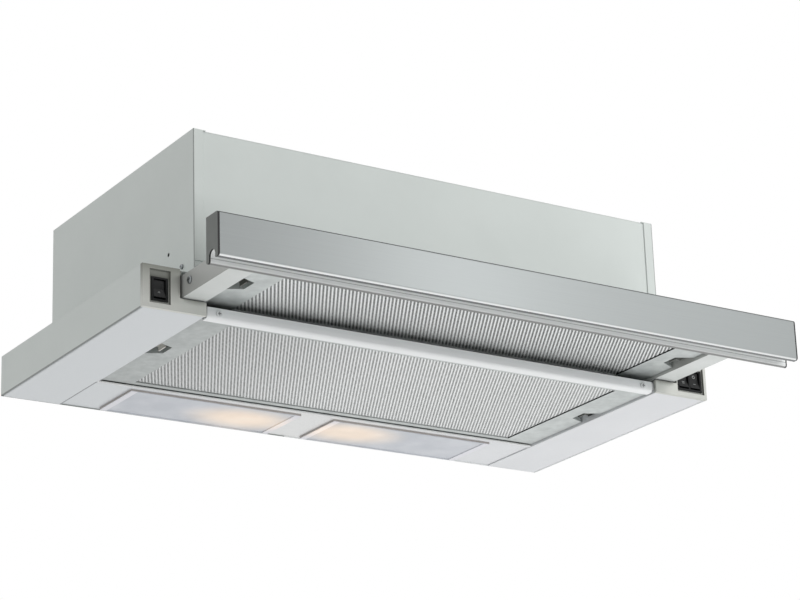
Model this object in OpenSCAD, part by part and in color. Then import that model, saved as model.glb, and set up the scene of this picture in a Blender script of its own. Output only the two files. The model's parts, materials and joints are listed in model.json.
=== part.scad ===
// Pull-out range hood, 600 mm class, built under a wall cabinet.
// X runs to the right seen from the front, Y to the wall and Z up. The origin is the centre
// of the four cabinet screw holes, in the plane of the base's top ledges.
// Every length is in millimetres. The visor stands as far out as the photograph shows it.

/* [Base] */
// Width of the base over its side walls
base_w = 598; // [590:1:640]
// Depth of the base from the switch panels to the wall
base_d = 283; // [278:1:310]
// Height of the base
base_h = 38; // [38:1:44]
// Thickness of the folded steel sheet
sheet = 0.8; // [0.6:0.1:1]
// Width of a flange that seams two sheets
seam_w = 12; // [9:1:14]
// Width of the flat strip under each side of the base
strip_w = 59.7; // [57:0.1:64]
// Height of the strip's inner upstand
strip_lip_h = 11; // [10:0.5:11.5]
// Height of the strip's outer upstand
strip_rise_h = 15; // [10:1:20]
// Bend radius of the strip's outer edge, seen as a groove
strip_groove = 1.6; // [1:0.1:2.4]

/* [Cabinet screws] */
// Distance of each screw hole from the base's side
fix_inset = 25; // [20:1:30]
// Distance between the front and rear screw holes
fix_y = 180; // [120:1:200]
// Diameter of a screw hole
fix_hole_d = 6; // [5:0.5:8]

/* [Upper box] */
// Width of the ledge on which the box leaves each side of the base
box_inset = 50.5; // [49:0.5:52]
// Height of the upper box above the base
box_h = 133; // [133:1:170]
// Setback of the upper box behind the switch panels
box_set = 3; // [2:0.5:6]
// Width of the side panels' front flanges
front_flange_w = 9.5; // [7:0.5:14]
// Height at which the front flanges start
front_flange_foot = 12; // [4:1:30]
// Distance of the side screws behind the front of the box
side_screw_back = 21.5; // [18:0.5:26]
// Height of the side screws above the base
side_screw_z = 12.5; // [9:0.5:16]
// Diameter of the wire clip hole in each side panel
clip_hole_d = 3.6; // [2:0.2:6]
// Distance of the clip hole from the front of the box
clip_hole_y = 46.5; // [30:0.5:80]
// Height of the clip hole above the base
clip_hole_z = 31.5; // [20:0.5:60]

/* [Crossbar] */
// Height of the front crossbar
bar_h = 10; // [9:0.5:11.5]
// Depth of the front crossbar
bar_d = 9; // [7:0.5:9]
// Wall of the crossbar profile
bar_t = 1.2; // [0.8:0.1:1.6]
// Radius of the crossbar's lower edge
bar_r = 3; // [2:0.5:4]
// Gap between a crossbar end and the switch panel's arm
bar_gap = 2.3; // [1.5:0.1:4]
// Distance of each crossbar screw from the bar's end
bar_screw_inset = 11.2; // [8:0.1:16]

/* [Switch panels] */
// Thickness of a switch panel
panel_t = 3.5; // [3.2:0.1:4.5]
// Width of a switch panel above its arm
panel_w = 35.5; // [35.2:0.1:36.2]
// Height of the arm under the visor rail
arm_h = 12; // [10:0.5:12.4]
// Length of the arm beyond the panel
arm_l = 25; // [22:0.5:27]
// Depth of the recess round the rockers
recess_deep = 1.8; // [1.4:0.1:2]
// Height of the recess
recess_h = 29.8; // [26:0.1:31]
// Rim of the recess beside the switch bezel
recess_side = 2; // [0.8:0.1:2]
// Height of the rockers' middle above the base's underside
rocker_mid_z = 17.3; // [15.5:0.1:19]
// Distance of the left switch's middle from the hood's side
light_switch_x = 16.7; // [16:0.1:17.6]
// Distance of the right switches' middle from the hood's side
fan_switch_x = 19.4; // [19.2:0.1:19.7]

/* [Rockers] */
// Width of a rocker
rocker_w = 11; // [10:0.1:11.2]
// Height of a rocker
rocker_h = 15.8; // [14:0.1:16.2]
// Tilt of a rocker each way
rocker_tilt = 8; // [6:0.5:9]
// Distance between the two right rockers
rocker_pitch = 13.4; // [13.3:0.1:13.6]
// Wall of the switch body beside a rocker
switch_wall = 1.4; // [1.2:0.1:1.5]
// Depth of the switch body behind the panel
switch_deep = 22; // [16:1:26]
// Diameter of a rocker's pivot pin
rocker_pin_d = 2.4; // [1.6:0.1:3]

/* [Lamps] */
// Depth of the lamp panel at the rear of the underside
lamp_panel_d = 77.8; // [76:0.1:84]
// Height of the lamp panel's underside above the base's underside
lamp_panel_z = 0.8; // [0.4:0.1:1.2]
// Width of the folded hem along the lamp panel's front
lamp_hem_w = 4.5; // [3:0.5:6]
// Distance from the lamp panel's sides to the covers
cover_inset = 41.25; // [38:0.25:46]
// Depth of a lamp cover
cover_d = 65.5; // [60:0.5:66]
// Gap between the two covers
cover_gap = 36.5; // [30:0.5:42]
// Sideways offset of the pair of lamps from the hood's middle
lamp_shift = -3.6; // [-6:0.1:0]
// Land of the lamp panel in front of the covers
cover_land = 7.4; // [6:0.1:8.4]
// Drop of a cover below the lamp panel
cover_drop = 2.2; // [1.6:0.1:3]
// Width of a cover's side rims
cover_rim = 6.5; // [5:0.5:9]
// Width of a cover's front and rear rims
cover_edge = 1.6; // [1.2:0.1:3]
// Depth of the pane's surface inside its rims
pane_sink = 0.7; // [0.4:0.1:1]
// Thickness of the pane
pane_t = 1.2; // [1:0.1:1.6]
// Diameter of a lamp bulb
bulb_d = 25; // [20:1:26]
// Length of a bulb's glass
bulb_l = 66; // [50:1:75]
// Diameter of a bulb's cap
cap_d = 14; // [12:0.5:16]
// Length of a bulb's cap
cap_l = 17; // [14:1:22]

/* [Visor] */
// How far the visor stands out of the base
pull_out = 111.3; // [100:0.1:111.3]
// Height of the fascia
fascia_h = 38; // [36:0.5:42]
// Depth of the fascia
fascia_d = 20.2; // [19:0.1:22]
// Height of the fascia's lower edge above the base's underside
fascia_z = 1.7; // [1:0.1:3]
// Sheet of the fascia's face
fascia_t = 1; // [0.8:0.1:1.4]
// Depth of the front leg under the fascia
front_leg_d = 5.5; // [4:0.5:7]
// Width of the finger groove
groove_w = 10; // [9:0.5:11]
// Height of the finger groove above the fascia's lower edge
groove_h = 8; // [6:0.5:10]
// Drop of the rear leg below the fascia's lower edge
rear_leg_drop = 2.5; // [1:0.1:3.5]
// Thickness of an end cap
cap_t = 1.4; // [1.2:0.1:2.4]

/* [Visor rails] */
// Width of a rail
rail_w = 22.5; // [21.5:0.1:22.6]
// Height of a rail
rail_h = 20; // [18:0.5:20.2]
// Wall of a rail
rail_t = 1.2; // [1:0.1:1.5]
// Width of the lips over a rail's channel
rail_lip = 5.5; // [4:0.5:6]
// Height of a rail's underside above the base's underside
rail_z = 13.2; // [13:0.1:13.6]
// Gap between a rail and the switch panel's edge
rail_gap = 2.5; // [2.2:0.1:3]
// Length of a rail behind the base's front
rail_inside = 128; // [110:1:135]
// Depth of the cross piece between the rails
cross_d = 12; // [8:1:14]

/* [Guides] */
// Length of a guide
guide_l = 200; // [160:1:210]
// Distance of a guide behind the base's front
guide_set = 12; // [12:0.5:16]
// Thickness of a guide's sheet
guide_t = 1.2; // [1:0.1:1.5]
// Width of the guide's top flange and foot
guide_w = 14; // [10:0.5:16]
// Length of a glide shoe
shoe_l = 28; // [20:1:30]
// Distance between the two shoes of a guide
shoe_pitch = 46; // [40:1:50]

/* [Filters] */
// Thickness of a filter frame
filter_t = 9; // [8.5:0.1:9.2]
// Width of a frame's side borders
filter_side = 33; // [30:0.5:36]
// Width of a frame's front and rear borders
filter_end = 7.5; // [6:0.5:9]
// Height of the base filter above the base's underside
base_filter_z = 2; // [1.5:0.1:2.2]
// Height of the visor filter above the base's underside
visor_filter_z = 16; // [15.6:0.1:16.5]
// Reach of the visor filter behind the base's front
visor_filter_inside = 24; // [22:0.5:24]
// Spacing of the base filter's corrugations
base_mesh_pitch = 3.39; // [3.2:0.01:4.2]
// Spacing of the visor filter's corrugations
visor_mesh_pitch = 3.56; // [3.2:0.01:4.2]
// Height of the corrugations
mesh_h = 2.2; // [1.6:0.1:3]
// Thickness of the corrugated layer
mesh_t = 0.7; // [0.5:0.1:1]
// Depth of the corrugations inside the frame's face
mesh_sink = 0.9; // [0.5:0.1:2]
// Diameter of a frame's pivot pins
filter_pin_d = 3; // [2.4:0.1:3.4]

/* [Filter latches] */
// Width of the latch recess at the frame's edge
recess_mouth = 33; // [28:0.5:38]
// Width of the latch recess at its inner end
recess_floor = 17.5; // [15:0.5:22]
// Reach of the latch recess into the frame
recess_reach = 16.5; // [15.5:0.5:20]
// Depth of the latch recess
recess_z = 6.5; // [6:0.1:6.6]
// Length of a latch slider
latch_l = 12; // [9:0.5:12]
// Width of a latch slider
latch_w = 12; // [10:0.5:14]
// Thickness of a latch slider
latch_t = 2; // [1.6:0.1:2.1]
// Width of a slider's neck through the frame
latch_neck_w = 4; // [3:0.1:5]
// Travel of a latch
latch_travel = 3.5; // [2.5:0.1:3.5]
// Distance of the base filter's latches behind the base's front
base_latch_y = 102; // [90:0.5:115]
// Distance of the visor filter's latches in front of the base
visor_latch_y = 43; // [38:0.5:50]

/* [Outlet] */
// Outer diameter of the outlet collar
collar_d = 120; // [110:1:125]
// Wall of the outlet collar
collar_t = 1.6; // [1.2:0.1:2.4]
// Height of the outlet collar above its flange
collar_h = 28; // [26:1:34]
// Width of the collar's flange
collar_flange = 12; // [10:1:20]
// Height of the flaps' spindle above the flange
spindle_z = 12; // [9:0.5:16]
// Diameter of the flaps' spindle
spindle_d = 4; // [3:0.1:5]
// Thickness of a backdraught flap
flap_t = 1.2; // [1:0.1:1.6]

/* [Blower] */
// Distance of the wheel's axis in front of the outlet's middle
wheel_y = 31; // [31:0.5:32]
// Height of the wheel's axis above the base
wheel_z = 64; // [62:0.5:66]
// Diameter of the blower wheel
wheel_d = 88; // [80:1:88]
// Width of the blower wheel
wheel_w = 108; // [90:1:112]
// Radial depth of a blade
blade_d = 8; // [6:0.5:10]
// Number of blades on each side
blade_n = 26; // [16:1:36]
// Inner width of the volute
volute_w = 122; // [118:1:130]
// Wall of the volute
volute_t = 1.2; // [1:0.1:2]
// Radius of the volute at its tongue
volute_r0 = 47; // [46.5:0.5:48]
// Radius of the volute at its outlet
volute_r1 = 70; // [68:0.5:72]
// Radius of the air inlets
inlet_r = 38; // [36:0.5:40]
// Diameter of the motor
motor_d = 66; // [60:1:68]
// Length of the motor
motor_l = 52; // [44:1:60]
// Distance from the volute to the motor's flange
motor_stand = 6; // [4:0.5:12]
// Diameter of the motor's shaft
shaft_d = 8; // [6:0.5:9]

/* [Fits] */
// Radial clearance of a pin in its bore
pin_clear = 0.05; // [0.02:0.01:0.08]
// Clearance between sliding or neighbouring pieces
slide_clear = 0.3; // [0.2:0.05:0.4]

/* [Hidden] */

round_n = 48;
small_n = 24;

// Colours
steel_grey = [0.80, 0.82, 0.81];
strip_white = [0.86, 0.87, 0.88];
stainless = [0.72, 0.73, 0.74];
alu = [0.82, 0.83, 0.84];
panel_grey = [0.70, 0.69, 0.66];
dark_plastic = [0.12, 0.12, 0.13];
cap_grey = [0.36, 0.36, 0.37];
frosted = [0.92, 0.93, 0.94, 0.8];
galvanised = [0.66, 0.68, 0.69];
nylon = [0.93, 0.92, 0.88];

// Planes of the hood
front_y = -base_d / 2;
rear_y = base_d / 2;
under_z = -base_h;
wall_x = base_w / 2;

// Upper box
box_x = wall_x - box_inset;
box_front = front_y + box_set;
box_lid = box_h - sheet;
box_ceiling = box_lid - sheet;
ledge_x = box_x - seam_w;

// Switch panels, arms and crossbar
panel_x = wall_x - panel_w;
arm_x = panel_x - arm_l;
panel_back = front_y + panel_t;
bar_x = arm_x - bar_gap;
bar_back = box_front + bar_t;
bar_screw_x = bar_x - bar_screw_inset;
bar_screw_z = under_z + bar_h / 2;
bar_screw_r = 1.5;
bar_screw_l = 6;
bar_head_r = 2.9;
bar_head_h = 1.4;
strip_x = wall_x - strip_w;

// Rails and guides
rail_out = panel_x - rail_gap;
rail_in = rail_out - rail_w;
rail_mid = rail_out - rail_w / 2;
rail_low = under_z + rail_z;
rail_top = rail_low + rail_h;
rail_rear = front_y + rail_inside;
stop_screw_y = front_y - 13;
stop_screw_z = rail_low + 11.5;
stop_screw_r = 1.5;
stop_head_r = 3.4;
stop_head_h = 1.8;
guide_front = front_y + guide_set;
guide_foot_z = rail_top - 6;

// Fascia, measured from its face and its lower edge
face_y = front_y - pull_out - fascia_d;
visor_back = front_y - pull_out;
lip_z = under_z + fascia_z;
fascia_top = lip_z + fascia_h;
cap_x = wall_x - cap_t;
groove_y = face_y + front_leg_d;
rear_leg_y = groove_y + groove_w;

// Filters
base_frame_x = strip_x - 2 * slide_clear;
base_frame_front = box_front + bar_d + 2 * slide_clear;
lamp_front = rear_y - lamp_panel_d;
base_frame_rear = lamp_front - 3.5 * slide_clear;
base_frame_z = under_z + base_filter_z;
base_pivot_y = base_frame_rear - 1.8;
base_pivot_z = base_frame_z + 2.4;
base_chamfer = 1.5;
visor_frame_x = rail_in - 2 * slide_clear;
visor_frame_front = visor_back + 2;
visor_frame_rear = front_y + visor_filter_inside;
visor_frame_z = under_z + visor_filter_z;
visor_pivot_y = visor_frame_rear - 3;
visor_pivot_z = visor_frame_z + 6;
cross_y = visor_frame_rear + 2;
filter_pin_r = filter_pin_d / 2;
pin_reach = 1.6;

// Lamps
lamp_edge = strip_x - slide_clear;
cover_w = lamp_edge - cover_inset - cover_gap / 2;
cover_pitch = cover_w + cover_gap;
lamp_plate_t = 1;
lamp_hem_t = 0.6;
lamp_plate_top = under_z + lamp_panel_z + lamp_plate_t;
cover_front = lamp_front + cover_land;
cover_low = under_z + lamp_panel_z - cover_drop;
clip_rise = 3;
tray_half = cover_pitch / 2 + cover_w / 2 + 8;
tray_front = lamp_front + 3;
tray_rear = rear_y - sheet - 1.5;
tray_top = -3.2;
bulb_z = under_z + 18;
bulb_y = cover_front + cover_d / 2;
holder_back = 6;
holder_l = 34;
holder_r = 12;
holder_foot_l = 8;
holder_foot_w = 18;

// Switches
switch_hole = 0.2;
rocker_cavity_w = rocker_w + 0.4;
rocker_cavity_h = rocker_h + 1.8;
switch_body_h = rocker_cavity_h + 2;
bezel_rim = 0.7;
bezel_t = 1;
rocker_face = 3.2;
rocker_pin_l = 0.8;
pivot_y = front_y + 5.8;
pivot_z = under_z + rocker_mid_z;
light_x = -(wall_x - light_switch_x);
fan_x = wall_x - fan_switch_x;
panel_screw_x = panel_x + 2.2;
panel_screw_y = panel_back + 3.5;
panel_screw_r = 1.5;
panel_head_r = 2.8;
panel_head_h = 2;
side_head_r = 2.3;
side_head_h = 1.7;
side_tab = 5;
lug_t = 3;
lug_half = 4.5;

// Outlet and flaps
flange_top = box_lid + 1.5;
collar_top = flange_top + collar_h;
collar_bore = collar_d / 2 - collar_t;
flap_z = flange_top + spindle_z;
seat_w = 3;
flap_r = collar_bore - 1;
knuckle_r = spindle_d / 2 + 1.4;
knuckle_l = 18;

// Blower
wheel_yc = -wheel_y;
volute_x = volute_w / 2;
tongue_a = 100;
motor_x = volute_x + volute_t + motor_stand;
shaft_r = shaft_d / 2;
shaft_left = -wheel_w / 2 + 6;
shaft_right = motor_x + motor_l - 14;

// Terminal box, gland and microswitch
term_inset = 88.5;
term_x = term_inset - box_x;
term_y = rear_y - 53.5;
term_w = 78;
term_d = 60;
term_h = 30;
capacitor_inset = 52.5;
capacitor_set = 24;
capacitor_l = 56;
capacitor_r = 16;
clamp_w = 20;
gland_r = 9;
gland_bore_r = 4.5;
micro_inset = 12.5;
micro_x = ledge_x - micro_inset;
micro_y = cross_y + cross_d + pull_out;
micro_z = visor_frame_z + 4.5;
plunger_r = 1.6;
wire_r = 1.6;
wire_n = 8;
blade_l = 7;
wire_side_x = wall_x - 11;
wire_rear_y = rear_y - 21;

// ---------- shared shapes ----------

// Box between two corners
module block(x0, x1, y0, y1, z0, z1)
    translate([x0, y0, z0]) cube([x1 - x0, y1 - y0, z1 - z0]);

// Round bar along X, Y or Z
module bar_along_x(x0, x1, y, z, r, n = small_n)
    translate([x0, y, z]) rotate([0, 90, 0]) cylinder(h = x1 - x0, r = r, $fn = n);

module bar_along_y(y0, y1, x, z, r, n = small_n)
    translate([x, y0, z]) rotate([-90, 0, 0]) cylinder(h = y1 - y0, r = r, $fn = n);

module bar_along_z(z0, z1, x, y, r, n = small_n)
    translate([x, y, z0]) cylinder(h = z1 - z0, r = r, $fn = n);

// Outline in Y and Z drawn out along X, and outline in X and Z drawn out along Y
module along_x(x0, x1)
    translate([x0, 0, 0]) rotate([90, 0, 90]) linear_extrude(x1 - x0) children();

module along_y(y0, y1)
    translate([0, y1, 0]) rotate([90, 0, 0]) linear_extrude(y1 - y0) children();

module left_hand() mirror([1, 0, 0]) children();

// Points of an arc round a centre
function arc(c, r, a0, a1, n) =
    [for (i = [0:n]) let (a = a0 + (a1 - a0) * i / n) c + r * [cos(a), sin(a)]];

// Pan head with a cross recess, facing +Z, with its shank below
module cross_screw(head_r, head_h, shank_r, shank_l) {
    difference() {
        rotate_extrude($fn = small_n)
            polygon(concat([[0, 0], [head_r, 0]],
                arc([head_r - head_h * 0.6, head_h * 0.4], head_h * 0.6, 0, 90, 5),
                [[0, head_h]]));
        for (a = [0, 90])
            rotate([0, 0, a])
                translate([-head_r * 0.55, -head_r * 0.1, head_h * 0.45])
                    cube([head_r * 1.1, head_r * 0.2, head_h]);
    }
    translate([0, 0, -shank_l]) cylinder(h = shank_l + 0.1, r = shank_r, $fn = small_n);
}

// ---------- upper box ----------

module side_panel() color(steel_grey) difference() {
    union() {
        block(box_x - sheet, box_x, box_front, rear_y, 0, box_h);
        block(box_x - front_flange_w, box_x, box_front, box_front + sheet,
            front_flange_foot, box_h);
        block(ledge_x, box_x, rear_y - sheet, rear_y, 0, box_h);
        block(ledge_x, box_x, box_front, rear_y, 0, sheet);
        block(ledge_x, box_x, box_front, rear_y, box_lid, box_h);
    }
    bar_along_x(box_x - 2 * sheet, box_x + sheet, box_front + clip_hole_y, clip_hole_z,
        clip_hole_d / 2);
    bar_along_x(box_x - 2 * sheet, box_x + sheet, box_front + side_screw_back, side_screw_z,
        panel_screw_r + pin_clear);
}

module side_panel_left() left_hand() side_panel();
module side_panel_right() side_panel();

panel_half = box_x - sheet - slide_clear;

// Wall with stiffening flanges at top and bottom, turned towards the room's side given by dir
module box_wall(y0, dir) {
    reach = dir * seam_w;
    block(-panel_half, panel_half, y0, y0 + sheet, sheet, box_ceiling);
    block(-ledge_x + slide_clear, ledge_x - slide_clear, y0, y0 + sheet, 0, 2 * sheet);
    for (z = [sheet, box_ceiling - sheet])
        block(-panel_half, panel_half, min(y0, y0 + reach), max(y0 + sheet, y0 + reach),
            z, z + sheet);
}

// Front wall with a tab at each side for the side screws
module front_panel() color(steel_grey) difference() {
    union() {
        box_wall(box_front + sheet, 1);
        for (s = [-1, 1])
            block(min(s * panel_half, s * (panel_half - sheet)),
                max(s * panel_half, s * (panel_half - sheet)), box_front + sheet,
                box_front + side_screw_back + side_tab, side_screw_z - side_tab,
                side_screw_z + side_tab);
    }
    bar_along_x(-box_x, box_x, box_front + side_screw_back, side_screw_z,
        panel_screw_r + pin_clear);
}

module back_panel() color(steel_grey) box_wall(rear_y - 2 * sheet, -1);

module top_panel() color(steel_grey) difference() {
    block(-panel_half, panel_half, box_front + sheet, rear_y - sheet, box_ceiling, box_lid);
    bar_along_z(box_ceiling - 1, box_lid + 1, 0, 0, collar_bore, round_n);
    bar_along_z(box_ceiling - 1, box_lid + 1, term_x, term_y, gland_r + pin_clear);
}

// ---------- base ----------

module base_side() color(steel_grey) difference() {
    union() {
        block(wall_x - sheet, wall_x, panel_back, rear_y, under_z, 0);
        block(ledge_x, wall_x, panel_back, rear_y - sheet, -sheet, 0);
        block(wall_x - seam_w, wall_x, rear_y - 2 * sheet, rear_y - sheet,
            under_z + strip_rise_h + 1, 0);
    }
    for (s = [-1, 1])
        bar_along_z(-2 * sheet, sheet, wall_x - fix_inset, s * fix_y / 2, fix_hole_d / 2, round_n);
    bar_along_z(-2 * sheet, sheet, panel_screw_x, panel_screw_y, panel_screw_r + pin_clear);
}

module base_side_left() left_hand() base_side();
module base_side_right() base_side();

module base_back() color(steel_grey) {
    block(-wall_x + sheet, wall_x - sheet, rear_y - sheet, rear_y, under_z, 0);
    block(-ledge_x + slide_clear, ledge_x - slide_clear, rear_y - seam_w, rear_y, -sheet, 0);
}

module bottom_strip() color(strip_white) difference() {
    edge = wall_x - sheet;
    g = strip_groove;
    union() {
        along_y(panel_back, rear_y - sheet)
            polygon([
                [strip_x, under_z], [edge - g, under_z], [edge, under_z + g],
                [edge, under_z + strip_rise_h], [edge - sheet, under_z + strip_rise_h],
                [edge - sheet, under_z + g + sheet / 2], [edge - g - sheet / 2, under_z + sheet],
                [strip_x + sheet, under_z + sheet], [strip_x + sheet, under_z + strip_lip_h],
                [strip_x, under_z + strip_lip_h],
            ]);
        // tongue behind the crossbar, which its screws hold
        block(bar_screw_x - 6, strip_x + sheet, bar_back, bar_back + sheet,
            under_z + bar_r, under_z + bar_h - 0.5);
    }
    bar_along_y(bar_back - 1, bar_back + 2, bar_screw_x, bar_screw_z, bar_screw_r + pin_clear);
    bar_along_x(strip_x - 1, strip_x + 2, base_pivot_y, base_pivot_z,
        filter_pin_r + pin_clear);
    // catch slot for the base filter's latch
    block(strip_x - 1, strip_x + 2, front_y + base_latch_y - latch_w / 2 - 1,
        front_y + base_latch_y + latch_w / 2 + 1, base_frame_z + recess_z - latch_t - 1,
        base_frame_z + recess_z + 0.5);
}

module bottom_strip_left() left_hand() bottom_strip();
module bottom_strip_right() bottom_strip();

module crossbar() color(alu) difference() {
    y0 = box_front;
    along_x(-bar_x, bar_x)
        polygon(concat(
            [[y0, under_z + bar_h]],
            arc([y0 + bar_r, under_z + bar_r], bar_r, 180, 270, 8),
            [[y0 + bar_d, under_z], [y0 + bar_d, under_z + bar_t]],
            arc([y0 + bar_r, under_z + bar_r], bar_r - bar_t, 270, 180, 8),
            [[bar_back, under_z + bar_h]]));
    for (s = [-1, 1])
        bar_along_y(y0 - 1, y0 + bar_t + 1, s * bar_screw_x, bar_screw_z,
            bar_screw_r + pin_clear);
}

module crossbar_screws() color(galvanised)
    for (s = [-1, 1])
        translate([s * bar_screw_x, box_front, bar_screw_z])
            rotate([90, 0, 0]) cross_screw(bar_head_r, bar_head_h, bar_screw_r, bar_screw_l);

// ---------- lamps ----------

function cover_x(s) = lamp_shift + s * cover_pitch / 2;

module lamp_panel() color(strip_white) difference() {
    edge = lamp_edge;
    union() {
        block(-edge, edge, lamp_front, lamp_front + lamp_hem_w,
            lamp_plate_top - lamp_plate_t - lamp_hem_t, lamp_plate_top);
        block(-edge, edge, lamp_front, rear_y - sheet, lamp_plate_top - lamp_plate_t,
            lamp_plate_top);
        block(-edge, edge, rear_y - 2 * sheet, rear_y - sheet, lamp_plate_top - lamp_plate_t,
            under_z + strip_rise_h);
        for (s = [-1, 1])
            block(min(s * edge, s * (edge - lamp_plate_t)), max(s * edge, s * (edge - lamp_plate_t)),
                lamp_front, rear_y - sheet, lamp_plate_top - lamp_plate_t,
                under_z + strip_lip_h);
    }
    for (s = [-1, 1])
        block(cover_x(s) - cover_w / 2 + 3, cover_x(s) + cover_w / 2 - 3,
            cover_front + cover_edge, cover_front + cover_d - cover_edge,
            under_z - 1, lamp_plate_top + 1);
}

// Frosted cover: a shallow tray hung under the panel, with clip walls through its window
module lamp_cover(s) color(frosted) {
    x0 = cover_x(s) - cover_w / 2;
    x1 = cover_x(s) + cover_w / 2;
    y0 = cover_front;
    y1 = cover_front + cover_d;
    seat = lamp_plate_top - lamp_plate_t;
    pane_low = cover_low + pane_sink;
    wall = 1.2;
    wx = 3 + slide_clear;
    wy = cover_edge + slide_clear;
    difference() {
        union() {
            block(x0, x1, y0, y1, cover_low, seat);
            block(x0 + wx, x1 - wx, y0 + wy, y1 - wy, seat - 0.1, lamp_plate_top + clip_rise);
        }
        block(x0 + wx + wall, x1 - wx - wall, y0 + wy + wall, y1 - wy - wall,
            pane_low + pane_t, lamp_plate_top + clip_rise + 1);
        block(x0 + cover_rim, x1 - cover_rim, y0 + cover_edge, y1 - cover_edge,
            cover_low - 1, pane_low);
    }
}

module lamp_cover_left() lamp_cover(-1);
module lamp_cover_right() lamp_cover(1);

module lamp_tray() color(galvanised) difference() {
    block(lamp_shift - tray_half, lamp_shift + tray_half, tray_front, tray_rear,
        lamp_plate_top, tray_top);
    block(lamp_shift - tray_half + sheet, lamp_shift + tray_half - sheet, tray_front + sheet,
        tray_rear - sheet, lamp_plate_top - 1, tray_top - sheet);
}

// Mirrors its children to the left lamp and keeps them at the right one
module each_lamp()
    translate([lamp_shift, 0, 0]) {
        children();
        mirror([1, 0, 0]) children();
    }

module lamp_holders() color(nylon) each_lamp() difference() {
    union() {
        bar_along_x(holder_back, holder_back + holder_l, bulb_y, bulb_z, holder_r, round_n);
        block(holder_back, holder_back + holder_foot_l, bulb_y - holder_foot_w / 2,
            bulb_y + holder_foot_w / 2, bulb_z, tray_top - sheet);
    }
    bar_along_x(holder_back + holder_l - cap_l, holder_back + holder_l + 1, bulb_y, bulb_z,
        cap_d / 2 + pin_clear, round_n);
}

module bulbs() color([1, 0.93, 0.8]) each_lamp()
    translate([holder_back + holder_l - cap_l, bulb_y, bulb_z]) rotate([0, 90, 0])
        rotate_extrude($fn = round_n)
            polygon(concat(
                [[0, 0], [cap_d / 2, 0], [cap_d / 2, cap_l + 2]],
                [[bulb_d / 2, cap_l + 12]],
                arc([bulb_d / 2 - 9, cap_l + bulb_l - 9], 9, 0, 90, 8),
                [[0, cap_l + bulb_l]]));

// ---------- switch panels and switches ----------

function bezel_half(n) = ((n - 1) * rocker_pitch + rocker_cavity_w) / 2 + switch_wall + bezel_rim;

// Panel seen from the front on the right side, for n rockers round x = mid
module switch_panel(mid, n) color(panel_grey) difference() {
    half = bezel_half(n);
    hole = half - bezel_rim + switch_hole / 2;
    union() {
        along_y(front_y, panel_back)
            polygon([
                [arm_x, under_z], [wall_x, under_z], [wall_x, 0], [panel_x, 0],
                [panel_x, under_z + arm_h], [arm_x, under_z + arm_h],
            ]);
        block(panel_screw_x - lug_half, panel_screw_x + lug_half, panel_back - 1,
            panel_screw_y + lug_half, -sheet - lug_t, -sheet);
    }
    block(max(mid - half - recess_side, panel_x + 1), mid + half + recess_side, front_y - 1,
        front_y + recess_deep, pivot_z - recess_h * 0.43, pivot_z + recess_h * 0.57);
    block(mid - hole, mid + hole, front_y, panel_back + 1,
        pivot_z - switch_body_h / 2 - switch_hole / 2, pivot_z + switch_body_h / 2 + switch_hole / 2);
    bar_along_z(-sheet - lug_t - 1, 0, panel_screw_x, panel_screw_y, panel_screw_r + pin_clear);
}

module switch_panel_left() left_hand() switch_panel(-light_x, 1);
module switch_panel_right() switch_panel(fan_x, 2);

// Screws of the switch panels' lugs, and of the box's sides
module panel_screws() color(galvanised) {
    for (s = [-1, 1])
        translate([s * panel_screw_x, panel_screw_y, 0])
            cross_screw(panel_head_r, panel_head_h, panel_screw_r, sheet + lug_t);
    for (s = [-1, 1])
        translate([s * box_x, box_front + side_screw_back, side_screw_z]) rotate([0, s * 90, 0])
            cross_screw(side_head_r, side_head_h, panel_screw_r, 4 * sheet);
}

// Rocker middles of a switch with n rockers
function rocker_x(mid, n) = [for (i = [0:n - 1]) mid + (i - (n - 1) / 2) * rocker_pitch];

module switch_body(mid, n) color(dark_plastic) {
    half = bezel_half(n);
    floor_y = front_y + recess_deep;
    difference() {
        union() {
            block(mid - half, mid + half, floor_y - bezel_t, floor_y,
                pivot_z - switch_body_h / 2 - bezel_rim, pivot_z + switch_body_h / 2 + bezel_rim);
            block(mid - half + bezel_rim, mid + half - bezel_rim, floor_y - 0.1,
                floor_y + switch_deep, pivot_z - switch_body_h / 2, pivot_z + switch_body_h / 2);
        }
        for (x = rocker_x(mid, n)) {
            block(x - rocker_cavity_w / 2, x + rocker_cavity_w / 2, front_y, pivot_y + 6,
                pivot_z - rocker_cavity_h / 2, pivot_z + rocker_cavity_h / 2);
            bar_along_x(x - rocker_w / 2 - rocker_pin_l - 0.1, x + rocker_w / 2 + rocker_pin_l + 0.1,
                pivot_y, pivot_z, rocker_pin_d / 2 + pin_clear);
        }
    }
    // terminal blades
    for (x = rocker_x(mid, n), z = [-5, 0, 5])
        block(x - 2.4, x + 2.4, floor_y + switch_deep - 1, floor_y + switch_deep + blade_l,
            pivot_z + z - 0.4, pivot_z + z + 0.4);
}

module switch_body_left() switch_body(light_x, 1);
module switch_body_right() switch_body(fan_x, 2);

// Rocker with its upper half pressed in
module rocker(x) color(dark_plastic) translate([x, pivot_y, pivot_z]) rotate([-rocker_tilt, 0, 0]) {
    h = rocker_h / 2;
    tip = rocker_face + h * tan(rocker_tilt);
    along_x(-rocker_w / 2, rocker_w / 2)
        polygon([[-rocker_face, 0], [-tip, h], [-1.5, h], [2.5, 3], [2.5, -3], [-1.5, -h], [-tip, -h]]);
    bar_along_x(-rocker_w / 2 - rocker_pin_l, rocker_w / 2 + rocker_pin_l, 0, 0, rocker_pin_d / 2);
}

module light_rocker() rocker(light_x);
module fan_rocker_inner() rocker(rocker_x(fan_x, 2)[0]);
module fan_rocker_outer() rocker(rocker_x(fan_x, 2)[1]);

// ---------- guides and shoes ----------

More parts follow.
